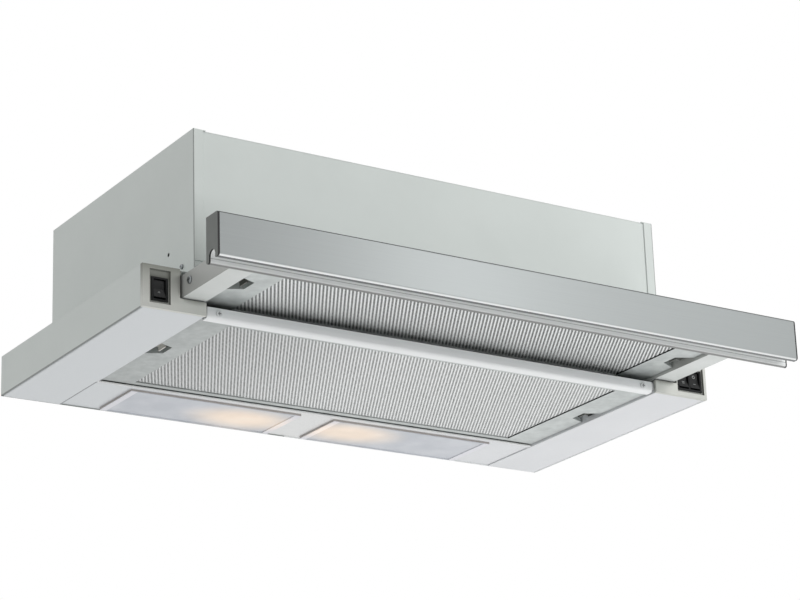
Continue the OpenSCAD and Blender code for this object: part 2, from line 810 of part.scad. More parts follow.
// I-section hung under the ledge, its foot inside the rail's channel
module guide_section(grow = 0) {
    h = guide_w / 2;
    translate([rail_mid - h, -sheet - guide_t]) square([guide_w, guide_t]);
    translate([rail_mid - guide_t / 2 - grow, guide_foot_z])
        square([guide_t + 2 * grow, -sheet - guide_foot_z]);
    translate([rail_mid - h - grow, guide_foot_z - guide_t - grow])
        square([guide_w + 2 * grow, guide_t + 2 * grow]);
}

module slide_guide() color(galvanised)
    along_y(guide_front, guide_front + guide_l) guide_section();

module slide_guide_left() left_hand() slide_guide();
module slide_guide_right() slide_guide();

module glide_shoe(y0) difference() {
    block(rail_in + rail_t + slide_clear, rail_out - rail_t - slide_clear, y0, y0 + shoe_l,
        rail_low + rail_t + slide_clear, rail_top - rail_t - slide_clear);
    along_y(y0 - 1, y0 + shoe_l + 1) guide_section(pin_clear);
}

module glide_shoes() color(nylon)
    for (y = [0, shoe_pitch]) {
        glide_shoe(guide_front + y);
        left_hand() glide_shoe(guide_front + y);
    }

// ---------- visor ----------

module fascia() color(stainless) along_x(-cap_x, cap_x) {
    r = 2.2;
    t = fascia_t;
    back = face_y + fascia_d;
    polygon(concat(
        [[back, fascia_top - 8], [back, fascia_top]],
        arc([face_y + r, fascia_top - r], r, 90, 180, 6),
        arc([face_y + r, lip_z + r], r, 180, 270, 6),
        [[groove_y, lip_z], [groove_y, lip_z + t], [face_y + r, lip_z + t]],
        arc([face_y + r, lip_z + r], r - t, 270, 180, 6),
        arc([face_y + r, fascia_top - r], r - t, 180, 90, 6),
        [[back - t, fascia_top - t], [back - t, fascia_top - 8]]));
}

// Grip profile: groove for the fingers and a rounded rear leg
module handle_strip() color(alu) along_x(-cap_x, cap_x) {
    t = 1.4;
    y0 = groove_y - t;
    roof = lip_z + groove_h;
    half = groove_w / 2;
    foot = lip_z - rear_leg_drop;
    back = face_y + fascia_d;
    leg_r = (back - rear_leg_y) / 2;
    polygon(concat(
        [[y0, lip_z + fascia_t], [groove_y, lip_z + fascia_t]],
        arc([groove_y + half, roof - half], half, 180, 0, 12),
        arc([rear_leg_y + leg_r, foot + leg_r], leg_r, 180, 360, 10),
        [[back, fascia_top - 8], [back - t, fascia_top - 8], [back - t, roof + t]],
        [[y0, roof + t]]));
}

module end_cap() color(cap_grey) along_x(cap_x, wall_x) {
    r = 2.5;
    roof = lip_z + groove_h;
    half = groove_w / 2;
    foot = lip_z - rear_leg_drop;
    back = face_y + fascia_d;
    leg_r = (back - rear_leg_y) / 2;
    polygon(concat(
        [[back, fascia_top]],
        arc([face_y + r, fascia_top - r], r, 90, 180, 6),
        arc([face_y + r, lip_z + r], r, 180, 270, 6),
        [[groove_y, lip_z]],
        arc([groove_y + half, roof - half], half, 180, 0, 12),
        arc([rear_leg_y + leg_r, foot + leg_r], leg_r, 180, 360, 10)));
}

module end_cap_left() left_hand() end_cap();
module end_cap_right() end_cap();

module visor_rail() color(strip_white) difference() {
    union() {
        along_y(visor_back, rail_rear)
            polygon([
                [rail_in, rail_low], [rail_out, rail_low], [rail_out, rail_top],
                [rail_out - rail_lip, rail_top], [rail_out - rail_lip, rail_top - rail_t],
                [rail_out - rail_t, rail_top - rail_t], [rail_out - rail_t, rail_low + rail_t],
                [rail_in + rail_t, rail_low + rail_t], [rail_in + rail_t, rail_top - rail_t],
                [rail_in + rail_lip, rail_top - rail_t], [rail_in + rail_lip, rail_top],
                [rail_in, rail_top],
            ]);
        block(rail_in, rail_out, visor_back, visor_back + rail_t, rail_low, rail_top);
    }
    bar_along_x(rail_in - 1, rail_in + rail_t + 1, visor_pivot_y, visor_pivot_z,
        filter_pin_r + pin_clear);
    bar_along_x(rail_out - rail_t - 1, rail_out + 1, stop_screw_y, stop_screw_z,
        stop_screw_r + pin_clear);
    // catch slot for the visor filter's latch
    block(rail_in - 1, rail_in + rail_t + 1, front_y - visor_latch_y - latch_w / 2 - 1,
        front_y - visor_latch_y + latch_w / 2 + 1, visor_frame_z + recess_z - latch_t - 1,
        visor_frame_z + recess_z + 0.5);
}

module visor_rail_left() left_hand() visor_rail();
module visor_rail_right() visor_rail();

module visor_crosspiece() color(galvanised) difference() {
    block(-rail_in, rail_in, cross_y, cross_y + cross_d, visor_frame_z, visor_frame_z + filter_t);
    block(-rail_in - 1, rail_in + 1, cross_y + rail_t, cross_y + cross_d - rail_t,
        visor_frame_z + rail_t, visor_frame_z + filter_t + 1);
}

module rail_screws() color(galvanised)
    for (s = [-1, 1])
        translate([s * rail_out, stop_screw_y, stop_screw_z])
            rotate([0, s * 90, 0]) cross_screw(stop_head_r, stop_head_h, stop_screw_r, rail_t);

// ---------- filters ----------

// Trapezoid recess for a finger, from the frame's edge at x inwards
module latch_recess(x, y, z)
    translate([0, 0, z - 1]) linear_extrude(recess_z + 1)
        polygon([
            [x + 1, y - recess_mouth / 2], [x + 1, y + recess_mouth / 2],
            [x, y + recess_mouth / 2], [x - recess_reach, y + recess_floor / 2],
            [x - recess_reach, y - recess_floor / 2], [x, y - recess_mouth / 2],
        ]);

// Slot in the recess's roof for the slider's neck, long enough for its travel
module neck_slot(x, y, z)
    block(x - latch_l + 2 - latch_travel - slide_clear, x - 4 + slide_clear,
        y - latch_neck_w / 2 - slide_clear, y + latch_neck_w / 2 + slide_clear,
        z + recess_z - 1, z + filter_t + 1);

module filter_frame(x, y0, y1, z, latch_y, pivot_y, pivot_z, chamfer) color(alu) {
    difference() {
        along_x(-x, x)
            polygon([
                [y0, z], [y1 - chamfer, z], [y1, z + chamfer], [y1, z + filter_t], [y0, z + filter_t],
            ]);
        block(-x + filter_side, x - filter_side, y0 + filter_end, y1 - filter_end, z - 1,
            z + filter_t + 1);
        for (s = [0, 1]) mirror([s, 0, 0]) {
            latch_recess(x, latch_y, z);
            neck_slot(x, latch_y, z);
        }
    }
    for (s = [0, 1]) mirror([s, 0, 0])
        bar_along_x(x - 0.5, x + pin_reach, pivot_y, pivot_z, filter_pin_r);
}

// Corrugated layer between the frame's borders, its ribs running front to rear
module filter_mesh(x, y0, y1, z, pitch) color(galvanised) {
    half = x - filter_side;
    n = round(half * 2 / pitch);
    step = 2 * half / n;
    low = z + mesh_sink;
    under = [for (i = [0:2 * n]) [-half + i * step / 2, low + (i % 2) * mesh_h]];
    over = [for (p = under) [p[0], p[1] + mesh_t]];
    along_y(y0 + filter_end, y1 - filter_end)
        polygon(concat(under, [for (i = [2 * n:-1:0]) over[i]]));
}

// Latch slider in its recess, with a finger tab and a headed neck through the frame
module filter_latch(x, y, z) color(panel_grey) {
    roof = z + recess_z - 0.2;
    inner = x - latch_l;
    block(inner, x - 0.1, y - latch_w / 2, y + latch_w / 2, roof - latch_t, roof);
    block(inner, inner + 1.5, y - latch_w / 2, y + latch_w / 2, z + 0.6, roof);
    block(inner + 2, x - 4, y - latch_neck_w / 2, y + latch_neck_w / 2, roof - 0.1,
        z + filter_t + 0.3);
    block(inner + 1, x - 3, y - latch_neck_w, y + latch_neck_w, z + filter_t + 0.2,
        z + filter_t + 1.2);
}

module visor_filter_frame()
    filter_frame(visor_frame_x, visor_frame_front, visor_frame_rear, visor_frame_z,
        front_y - visor_latch_y, visor_pivot_y, visor_pivot_z, 0.5);

module visor_filter_mesh()
    filter_mesh(visor_frame_x, visor_frame_front, visor_frame_rear, visor_frame_z,
        visor_mesh_pitch);

module visor_latch_left() left_hand() visor_latch_right();
module visor_latch_right() filter_latch(visor_frame_x, front_y - visor_latch_y, visor_frame_z);

module base_filter_frame()
    filter_frame(base_frame_x, base_frame_front, base_frame_rear, base_frame_z,
        front_y + base_latch_y, base_pivot_y, base_pivot_z, base_chamfer);

module base_filter_mesh()
    filter_mesh(base_frame_x, base_frame_front, base_frame_rear, base_frame_z,
        base_mesh_pitch);

module base_latch_left() left_hand() base_latch_right();
module base_latch_right() filter_latch(base_frame_x, front_y + base_latch_y, base_frame_z);

// ---------- outlet ----------

// Collar with a seat for the flaps and square slots for their spindle
module outlet_collar() color(dark_plastic) difference() {
    union() {
        bar_along_z(box_lid, flange_top, 0, 0, collar_d / 2 + collar_flange, round_n);
        bar_along_z(box_lid, collar_top, 0, 0, collar_d / 2, round_n);
    }
    bar_along_z(flap_z - flap_t / 2 - slide_clear, collar_top + 1, 0, 0, collar_bore, round_n);
    bar_along_z(box_lid - 1, collar_top, 0, 0, collar_bore - seat_w, round_n);
    block(-spindle_d / 2 - pin_clear, spindle_d / 2 + pin_clear, -collar_d / 2 - 1,
        collar_d / 2 + 1, flap_z - spindle_d / 2 - pin_clear, flap_z + spindle_d / 2 + pin_clear);
}

module flap_spindle() color(galvanised)
    bar_along_y(-collar_d / 2, collar_d / 2, 0, flap_z, spindle_d / 2);

// Half disc on the right of the spindle, with knuckles from the places given
module damper_flap(places) color(dark_plastic) difference() {
    union() {
        intersection() {
            bar_along_z(flap_z - flap_t / 2, flap_z + flap_t / 2, 0, 0, flap_r, round_n);
            block(knuckle_r + 0.8, flap_r, -flap_r, flap_r, flap_z - flap_t, flap_z + flap_t);
        }
        for (y = places) {
            block(0, knuckle_r + 1, y + slide_clear, y + knuckle_l - slide_clear,
                flap_z - flap_t / 2, flap_z + flap_t / 2);
            bar_along_y(y + slide_clear, y + knuckle_l - slide_clear, 0, flap_z, knuckle_r);
        }
    }
    bar_along_y(-flap_r, flap_r, 0, flap_z, spindle_d / 2 + pin_clear);
}

module damper_flap_right() damper_flap([-2 * knuckle_l, 0]);
module damper_flap_left() left_hand() damper_flap([-knuckle_l, knuckle_l]);

// ---------- blower ----------

// Scroll outline, grown by its wall, with the outlet running up to top
function scroll(grow, top) =
    let (c = [wheel_yc, wheel_z], n = 32,
        start = c + (volute_r0 + grow) * [cos(tongue_a), sin(tongue_a)])
    concat(
        [for (i = [0:n])
            let (a = tongue_a + (360 - tongue_a) * i / n,
                r = volute_r0 + grow + (volute_r1 - volute_r0) * i / n)
            c + r * [cos(a), sin(a)]],
        [[c[0] + volute_r1 + grow, top], [start[0] - grow, top]]);

module volute() color(dark_plastic) difference() {
    left = -volute_x - volute_t;
    union() {
        along_x(left, volute_x) polygon(scroll(volute_t, box_ceiling));
        block(left - 8, volute_x + 10, wheel_yc - 20, wheel_yc + volute_r1 + 8,
            box_ceiling - volute_t, box_ceiling);
    }
    along_x(-volute_x, volute_x + 1) polygon(scroll(0, box_ceiling + 1));
    bar_along_x(left - 1, 0, wheel_yc, wheel_z, inlet_r, round_n);
}

module volute_side_plate() color(dark_plastic) {
    x0 = volute_x;
    plate_r = motor_d / 2 + 4;
    difference() {
        along_x(x0, x0 + volute_t) polygon(scroll(volute_t, box_ceiling - volute_t));
        bar_along_x(x0 - 1, x0 + 3, wheel_yc, wheel_z, inlet_r, round_n);
    }
    // three arms and a ring that carry the motor
    difference() {
        union() {
            bar_along_x(motor_x - 2, motor_x, wheel_yc, wheel_z, plate_r, round_n);
            for (a = [30, 150, 270])
                translate([0, wheel_yc, wheel_z]) rotate([a, 0, 0]) {
                    block(motor_x - 2, motor_x, plate_r - 2, inlet_r + 5, -5, 5);
                    block(x0 + volute_t - 0.1, motor_x, inlet_r + 2, inlet_r + 5, -5, 5);
                }
        }
        bar_along_x(motor_x - 3, motor_x + 1, wheel_yc, wheel_z, motor_d / 2 - 8, round_n);
    }
}

module motor() color(galvanised) difference() {
    union() {
        bar_along_x(motor_x, motor_x + motor_l, wheel_yc, wheel_z, motor_d / 2, round_n);
        bar_along_x(motor_x - 4, motor_x + 1, wheel_yc, wheel_z, 11, round_n);
        bar_along_x(motor_x + motor_l - 1, motor_x + motor_l + 5, wheel_yc, wheel_z, 13, round_n);
    }
    bar_along_x(motor_x - 5, shaft_right + 1, wheel_yc, wheel_z, shaft_r + pin_clear);
}

module impeller() color(nylon) {
    r = wheel_d / 2;
    h = wheel_w / 2;
    translate([0, wheel_yc, wheel_z]) {
        difference() {
            bar_along_x(-1, 1, 0, 0, r - 1, round_n);
            bar_along_x(-2, 2, 0, 0, shaft_r - 0.1);
        }
        for (x = [-h, h - 2])
            difference() {
                bar_along_x(x, x + 2, 0, 0, r, round_n);
                bar_along_x(x - 1, x + 3, 0, 0, r - blade_d, round_n);
            }
        for (i = [0:blade_n - 1])
            rotate([i * 360 / blade_n, 0, 0])
                translate([-h, r - blade_d + 0.4, -0.5]) cube([wheel_w, blade_d - 1, 1]);
        bar_along_x(-9, 9, 0, 0, 10);
        bar_along_x(shaft_left, shaft_right, 0, 0, shaft_r);
    }
}

module capacitor() color([0.85, 0.85, 0.83]) {
    x = box_x - capacitor_inset - capacitor_l;
    y = term_y - capacitor_set;
    z = box_ceiling - 2 - capacitor_r;
    mid = x + capacitor_l / 2;
    bar_along_x(x, x + capacitor_l, y, z, capacitor_r, round_n);
    block(mid - clamp_w / 2, mid + clamp_w / 2, y - clamp_w / 2, y + clamp_w / 2, z, box_ceiling);
}

// ---------- wiring and small electrics ----------

module terminal_box() color([0.9, 0.9, 0.88]) difference() {
    x0 = term_x - term_w / 2;
    y0 = term_y - term_d / 2;
    w = 2;
    block(x0, x0 + term_w, y0, y0 + term_d, box_ceiling - term_h, box_ceiling);
    block(x0 + w, x0 + term_w - w, y0 + w, y0 + term_d - w, box_ceiling - term_h + w,
        box_ceiling + 1);
}

module cable_gland() color(dark_plastic) difference() {
    union() {
        bar_along_z(box_ceiling - 10, box_lid + 1, term_x, term_y, gland_r);
        bar_along_z(box_lid, box_lid + 12, term_x, term_y, gland_r + 4);
        translate([term_x, term_y, box_lid]) cylinder(h = 6, r = gland_r + 6, $fn = 6);
        translate([term_x, term_y, box_ceiling - 7]) cylinder(h = 5, r = gland_r + 5, $fn = 6);
    }
    bar_along_z(box_ceiling - 11, box_lid + 13, term_x, term_y, gland_bore_r);
}

module microswitch() color(dark_plastic) left_hand() difference() {
    y0 = micro_y + 3.5;
    union() {
        block(micro_x - 9, micro_x + 9, y0, y0 + 22, micro_z - 6, -sheet);
        block(micro_x - 9, rail_mid - guide_w / 2 - 1, y0 + 4, y0 + 20, -sheet - 2, -sheet);
    }
    bar_along_y(y0 - 1, y0 + 9, micro_x, micro_z, plunger_r + pin_clear);
}

module microswitch_plunger() color([0.7, 0.1, 0.1]) left_hand()
    bar_along_y(micro_y + slide_clear, micro_y + 8, micro_x, micro_z, plunger_r);

function unit(v) = v / norm(v);

// First ring of a tube round its start, square to the way it leaves
function first_ring(a, b) =
    let (d = unit(b - a),
        side = unit(cross(d, abs(d[2]) > 0.9 ? [1, 0, 0] : [0, 0, 1])),
        up = cross(d, side))
    [for (k = [0:wire_n - 1])
        a + wire_r * (cos(360 * k / wire_n) * side + sin(360 * k / wire_n) * up)];

// Plane that halves the bend at point i, or squares off the last one
function mitre(p, i) =
    let (d = unit(p[i] - p[i - 1]))
    i == len(p) - 1 ? d : unit(d + unit(p[i + 1] - p[i]));

// Rings along the route, each one the last ring carried on to the next mitre
function rings(p, i = 0, last = []) =
    i == len(p) ? [] :
    let (m = i == 0 ? [] : mitre(p, i),
        d = i == 0 ? [] : unit(p[i] - p[i - 1]),
        ring = i == 0 ? first_ring(p[0], p[1])
            : [for (q = last) q + d * ((p[i] - q) * m) / (d * m)])
    concat([ring], rings(p, i + 1, ring));

// Wire along a route of points
module wire(p) {
    n = wire_n;
    ends = len(p) - 1;
    polyhedron(
        points = [for (ring = rings(p)) each ring],
        faces = concat(
            [[for (k = [0:n - 1]) k]],
            [for (i = [0:ends - 1], k = [0:n - 1])
                [i * n + k, (i + 1) * n + k, (i + 1) * n + (k + 1) % n, i * n + (k + 1) % n]],
            [[for (k = [n - 1:-1:0]) ends * n + k]]));
}

module wiring() color([0.2, 0.2, 0.22]) {
    term_left = term_x - term_w / 2;
    term_right = term_x + term_w / 2;
    term_low = box_ceiling - term_h;
    high = term_low + 12;
    drop_x = ledge_x - 8;
    low = -10;
    blade_y = front_y + recess_deep + switch_deep + blade_l;
    fan_inner_x = rocker_x(fan_x, 2)[0];
    motor_mid = motor_x + motor_l / 2;
    wire([
        [term_left, term_y + 20, high], [-drop_x, term_y + 20, high],
        [-drop_x, wire_rear_y, low], [-wire_side_x, wire_rear_y, low],
        [-wire_side_x, blade_y + 20, low], [light_x, blade_y + 10, pivot_z],
        [light_x, blade_y, pivot_z],
    ]);
    wire([
        [term_right, term_y + 24, high], [drop_x, term_y + 24, high],
        [drop_x, wire_rear_y, low], [wire_side_x, wire_rear_y, low],
        [wire_side_x, blade_y + 20, low], [fan_inner_x, blade_y + 10, pivot_z],
        [fan_inner_x, blade_y, pivot_z],
    ]);
    wire([
        [term_right, term_y - 10, high], [motor_mid, term_y - 10, high],
        [motor_mid, term_y - 10, wheel_z], [motor_mid, wheel_yc + motor_d / 2, wheel_z],
    ]);
    wire([[term_x + 10, term_y, term_low], [term_x + 10, term_y, tray_top]]);
}

side_panel_left();
side_panel_right();
front_panel();
back_panel();
top_panel();
base_side_left();
base_side_right();
base_back();
bottom_strip_left();
bottom_strip_right();
crossbar();
crossbar_screws();
lamp_panel();
lamp_cover_left();
lamp_cover_right();
lamp_tray();
lamp_holders();
bulbs();
switch_panel_left();
switch_panel_right();
switch_body_left();
switch_body_right();
panel_screws();
slide_guide_left();
slide_guide_right();
glide_shoes();
volute();
volute_side_plate();
motor();
capacitor();
terminal_box();
cable_gland();
outlet_collar();
flap_spindle();
microswitch();
wiring();
fascia();
handle_strip();
end_cap_left();
end_cap_right();
visor_rail_left();
visor_rail_right();
visor_crosspiece();
rail_screws();
visor_filter_frame();
visor_filter_mesh();
base_filter_frame();
base_filter_mesh();
visor_latch_left();
visor_latch_right();
base_latch_left();
base_latch_right();
light_rocker();
fan_rocker_inner();
fan_rocker_outer();
damper_flap_left();
damper_flap_right();
impeller();
microswitch_plunger();
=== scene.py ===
# %% [markdown]
# # A pull-out range hood, dressed
#
# The object is a cooker hood that hides under a wall cabinet. A box of coated sheet steel holds
# the fan, a shallow base carries switches, lamps and a grease filter, and a visor with a second
# filter slides out at the front. The exact solids come from CAD. Here they get their finishes,
# the details too fine for CAD, light and a camera.

import json
import math

import bpy
from mathutils import Matrix, Vector


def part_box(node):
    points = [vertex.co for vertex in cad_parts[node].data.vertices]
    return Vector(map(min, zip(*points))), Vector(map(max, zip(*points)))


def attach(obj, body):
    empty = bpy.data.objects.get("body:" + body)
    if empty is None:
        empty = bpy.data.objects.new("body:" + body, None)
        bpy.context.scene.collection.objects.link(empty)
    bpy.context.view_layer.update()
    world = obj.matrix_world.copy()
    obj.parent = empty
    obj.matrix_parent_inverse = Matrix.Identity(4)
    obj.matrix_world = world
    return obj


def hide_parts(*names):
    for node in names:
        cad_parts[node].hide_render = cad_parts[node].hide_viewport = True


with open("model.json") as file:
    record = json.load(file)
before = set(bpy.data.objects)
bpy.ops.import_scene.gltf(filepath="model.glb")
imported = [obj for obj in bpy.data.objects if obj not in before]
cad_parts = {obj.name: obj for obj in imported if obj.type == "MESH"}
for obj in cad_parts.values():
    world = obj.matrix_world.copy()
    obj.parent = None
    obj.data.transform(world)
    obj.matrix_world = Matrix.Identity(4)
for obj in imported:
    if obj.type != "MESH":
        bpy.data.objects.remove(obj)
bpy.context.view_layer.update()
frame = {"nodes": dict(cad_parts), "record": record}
MM = 0.001
print(len(frame["nodes"]), "nodes")

# %% [markdown]
# ## How the colours are written
#
# Colours are easiest to read as the hex values of a colour picker, which are sRGB. Blender's
# shaders work in linear light, so one function turns the one into the other, and every colour in
# this file goes through it.

# %% Hex colour to linear light
def colour(hex_value):
    """Turns an sRGB hex string into the linear RGBA that a shader socket takes."""
    channels = [int(hex_value[i:i + 2], 16) / 255 for i in (1, 3, 5)]
    return [c / 12.92 if c <= 0.04045 else ((c + 0.055) / 1.055) ** 2.4 for c in channels] + [1.0]


print("mid grey #808080 is", round(colour("#808080")[0], 3), "in linear light")

# %% [markdown]
# ## How a finish is put together
#
# A finish is a tree of nodes that ends in one Principled shader. Adding a node always means the
# same four things: its kind, its own options, numbers for its sockets, and links from other
# nodes. One small function does that for every kind. A number that is the same all over the
# surface goes straight on the shader's socket.

# %% One function adds a node, one starts a finish
def add(finish, kind, options=None, links=None, **numbers):
    """Adds a node to a finish, sets its options and sockets, and links its inputs."""
    tree = finish.node_tree
    made = tree.nodes.new("ShaderNode" + kind)
    for name, value in (options or {}).items():
        setattr(made, name, value)
    for name, value in numbers.items():
        made.inputs[name.replace("_", " ")].default_value = value
    for name, source in (links or {}).items():
        tree.links.new(source, made.inputs[name])
    return made


def start_finish(name, base, roughness, metallic=0.0, **numbers):
    """Makes a material; returns it, its Principled shader and the Object coordinates."""
    finish = bpy.data.materials.new(name)
    finish.use_nodes = True
    finish.node_tree.nodes.clear()
    shader = add(finish, "BsdfPrincipled", Base_Color=colour(base), Roughness=roughness,
                 Metallic=metallic, **numbers)
    add(finish, "OutputMaterial", links={"Surface": shader.outputs["BSDF"]})
    place = add(finish, "TexCoord").outputs["Object"]
    return finish, shader, place


finishes = {}
print("ready to make finishes")

# %% [markdown]
# ### Nodes that come again and again
#
# Most of a finish is masks: a place or a direction is split into X, Y and Z, a range of one of
# them is turned into a factor from 0 to 1, factors are multiplied, and a colour is laid on where
# the factor says. Each of these steps is one node, and here each gets a short name.

# %% Short names for the nodes of a mask
def link(finish, source, target):
    """Joins an output socket to an input socket."""
    finish.node_tree.links.new(source, target)


def parts_of(finish, vector):
    """The X, Y and Z outputs of a vector."""
    return add(finish, "SeparateXYZ", links={"Vector": vector}).outputs


def facing_of(finish):
    """The X, Y and Z outputs of the direction that a face looks in."""
    return parts_of(finish, add(finish, "NewGeometry").outputs["True Normal"])


def maths(finish, operation, *terms, clamp=False):
    """A Math node's result; each term is a number or another node's output."""
    made = add(finish, "Math", {"operation": operation, "use_clamp": clamp})
    for socket, term in zip(made.inputs, terms):
        if isinstance(term, (int, float)):
            socket.default_value = term
        else:
            link(finish, term, socket)
    return made.outputs["Value"]


def product(finish, first, second):
    """Multiplies two factors."""
    return maths(finish, "MULTIPLY", first, second)


def ramp(finish, value, start, end, low=0.0, high=1.0):
    """Goes from low to high while a value goes from start to end."""
    made = add(finish, "MapRange", links={"Value": value},
               From_Min=start, From_Max=end, To_Min=low, To_Max=high)
    return made.outputs["Result"]


def blend(finish, factor, first, second):
    """Mixes two colours by a factor; each is a hex string or another node's output."""
    made = add(finish, "Mix", {"data_type": "RGBA"}, {"Factor": factor})
    for socket, part in ((made.inputs[6], first), (made.inputs[7], second)):
        if isinstance(part, str):
            socket.default_value = colour(part)
        else:
            link(finish, part, socket)
    return made.outputs[2]


def over(finish, below, factor, hex_value):
    """Lays a second colour over the one below, as far as a factor from 0 to 1 says."""
    return blend(finish, factor, below, hex_value)


print("nodes for masks are ready")

# %% [markdown]
# ## Coated and moulded finishes
#
# Powder coat, satin paint and moulded plastic have the same parts: one colour that drifts a
# little over the surface, a fine grain that lifts and dulls the highlight, and edges that catch
# light because no real edge is sharp. The grain could be displacement, but it is a few
# hundredths of a millimetre deep, so a bump is enough. The Bevel node rounds the edges for the
# light only, and the CAD solids stay exact. The two helpers below make that family, and each
# finish then says what is its own.

# %% Drift, grain and soft edges
# The values of a noise lie mostly between these two.
NOISE_LOW, NOISE_HIGH = 0.3, 0.7


def drift(finish, shader, place, first, second, size_mm, detail=3.0, low=0.35, high=0.65):
    """Lets the base colour wander between two close colours in patches of about size_mm."""
    patches = add(finish, "TexNoise", links={"Vector": place}, Scale=1 / (size_mm * MM), Detail=detail)
    spread = ramp(finish, patches.outputs["Fac"], low, high)
    mixed = blend(finish, spread, first, second)
    link(finish, mixed, shader.inputs["Base Color"])
    return mixed


def grain(finish, shader, place, size_mm, depth_mm, edge_mm=0.5, rough=(0.4, 0.5)):
    """Gives a bump and a roughness of grains of about size_mm, on edges rounded by edge_mm."""
    grains = add(finish, "TexNoise", links={"Vector": place}, Scale=1 / (size_mm * MM), Detail=2.0)
    dull = ramp(finish, grains.outputs["Fac"], NOISE_LOW, NOISE_HIGH, *rough)
    link(finish, dull, shader.inputs["Roughness"])
    edge = add(finish, "Bevel", {"samples": 4}, Radius=edge_mm * MM)
    bump = add(finish, "Bump", links={"Height": grains.outputs["Fac"], "Normal": edge.outputs["Normal"]},
               Strength=1.0, Distance=depth_mm * MM)
    link(finish, bump.outputs["Normal"], shader.inputs["Normal"])


print("helpers for drift and grain are ready")

# %% [markdown]
# ### Powder-coated sheet steel
#
# The box and the base are folded from 0.8 mm sheet and sprayed with powder that melts into a
# skin. The skin has a fine orange peel of about 1.5 mm and a broad, soft highlight, in a grey
# that is a little green. A darker line of painted shade runs along the sharp bends at the box's
# front corners. Along the base's lower hem, painted shadow darkens the left and painted light
# brightens the right, and painted shade darkens the front panel's lower left. The CAD's own
# boxes of the side panel and the base say where the lines are.

# %% Where the box's corner and the base's hem are
BOX_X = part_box("side_panel_right")[1][0]
BOX_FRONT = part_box("side_panel_right")[0][1]
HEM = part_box("base_side_left")[0][2]
BEND_FROM, BEND_TO = 0.9 * MM, 0.4 * MM
HEM_FROM, HEM_TO = 1.1 * MM, 0.5 * MM
# The painted shade on the front panel grows from the first to the second, to the left and downwards.
PANEL_SHADE_X = (-200 * MM, -246 * MM)
PANEL_SHADE_Z = (75 * MM, -10 * MM)
print("box corner at x", round(BOX_X / MM, 1), "y", round(BOX_FRONT / MM, 1), "mm")

# %% Powder coat of the box and base
def powder_coat():
    finish, shader, place = start_finish("powder_coated_steel", "#D2D8D5", 0.45,
                                         IOR=1.5, Specular_IOR_Level=0.4)
    coat = drift(finish, shader, place, "#D1D7D4", "#D4DAD7", 60)
    grain(finish, shader, place, 1.6, 0.02, 0.7, (0.40, 0.52))
    parts = parts_of(finish, place)
    side = maths(finish, "ABSOLUTE", parts["X"])
    near_side = ramp(finish, side, BOX_X - BEND_FROM, BOX_X - BEND_TO)
    near_front = ramp(finish, parts["Y"], BOX_FRONT + BEND_FROM, BOX_FRONT + BEND_TO)
    above = maths(finish, "GREATER_THAN", parts["Z"], 0.0)
    # Painted shade: a darker line along the sharp bends at the box's front corners.
    bend = product(finish, product(finish, near_side, near_front), above)
    bend_shaded = over(finish, coat, bend, "#8E9391")
    # Painted shadow along the base's lower hem on the left, and painted light along it on the right.
    hem = ramp(finish, parts["Z"], HEM + HEM_FROM, HEM + HEM_TO)
    left = maths(finish, "LESS_THAN", parts["X"], 0.0)
    right = maths(finish, "GREATER_THAN", parts["X"], 0.0)
    hem_shadowed = over(finish, bend_shaded, product(finish, hem, left), "#8B908E")
    hem_lit = over(finish, hem_shadowed, product(finish, hem, right), "#F2F4F4")
    # Painted shade over the front panel's lower left corner.
    front = maths(finish, "LESS_THAN", facing_of(finish)["Y"], -0.5)
    corner_shade = ramp(finish, parts["X"], *PANEL_SHADE_X)
    low_shade = ramp(finish, parts["Z"], *PANEL_SHADE_Z)
    shade_factor = product(finish, product(finish, corner_shade, low_shade), front)
    link(finish, over(finish, hem_lit, shade_factor, "#8B908D"), shader.inputs["Base Color"])
    return finish


finishes["casing"] = powder_coat()
print("made", finishes["casing"].name)

# %% [markdown]
# ### Satin light paint
#
# The strips under the base and the lamp panel are painted a step lighter and smoother than the
# box, so they hold a softer, cooler sheen. Painted shade darkens them towards the left, and
# painted light brightens the middle. Three lines are drawn by place: painted shade in the groove
# along the left strip's outer edge, painted shade in the seam on the left of the lamp panel, and
# painted light on the panel's front fold.

# %% Satin paint of the strips and the lamp panel
PANEL_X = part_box("lamp_panel")[1][0]
GROOVE_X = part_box("bottom_strip_left")[0][0] + 1.1 * MM
LAMP_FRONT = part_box("lamp_panel")[0][1]
# Painted shade grows over the first span, and painted light over the second.
STRIP_SHADE_X = (-100 * MM, -220 * MM)
MIDDLE_LIGHT_X = (170 * MM, 60 * MM)
GROOVE_SOFT, FOLD_W = 0.2 * MM, 0.6 * MM
SEAM_MID, SEAM_HALF = 0.9 * MM, 0.8 * MM


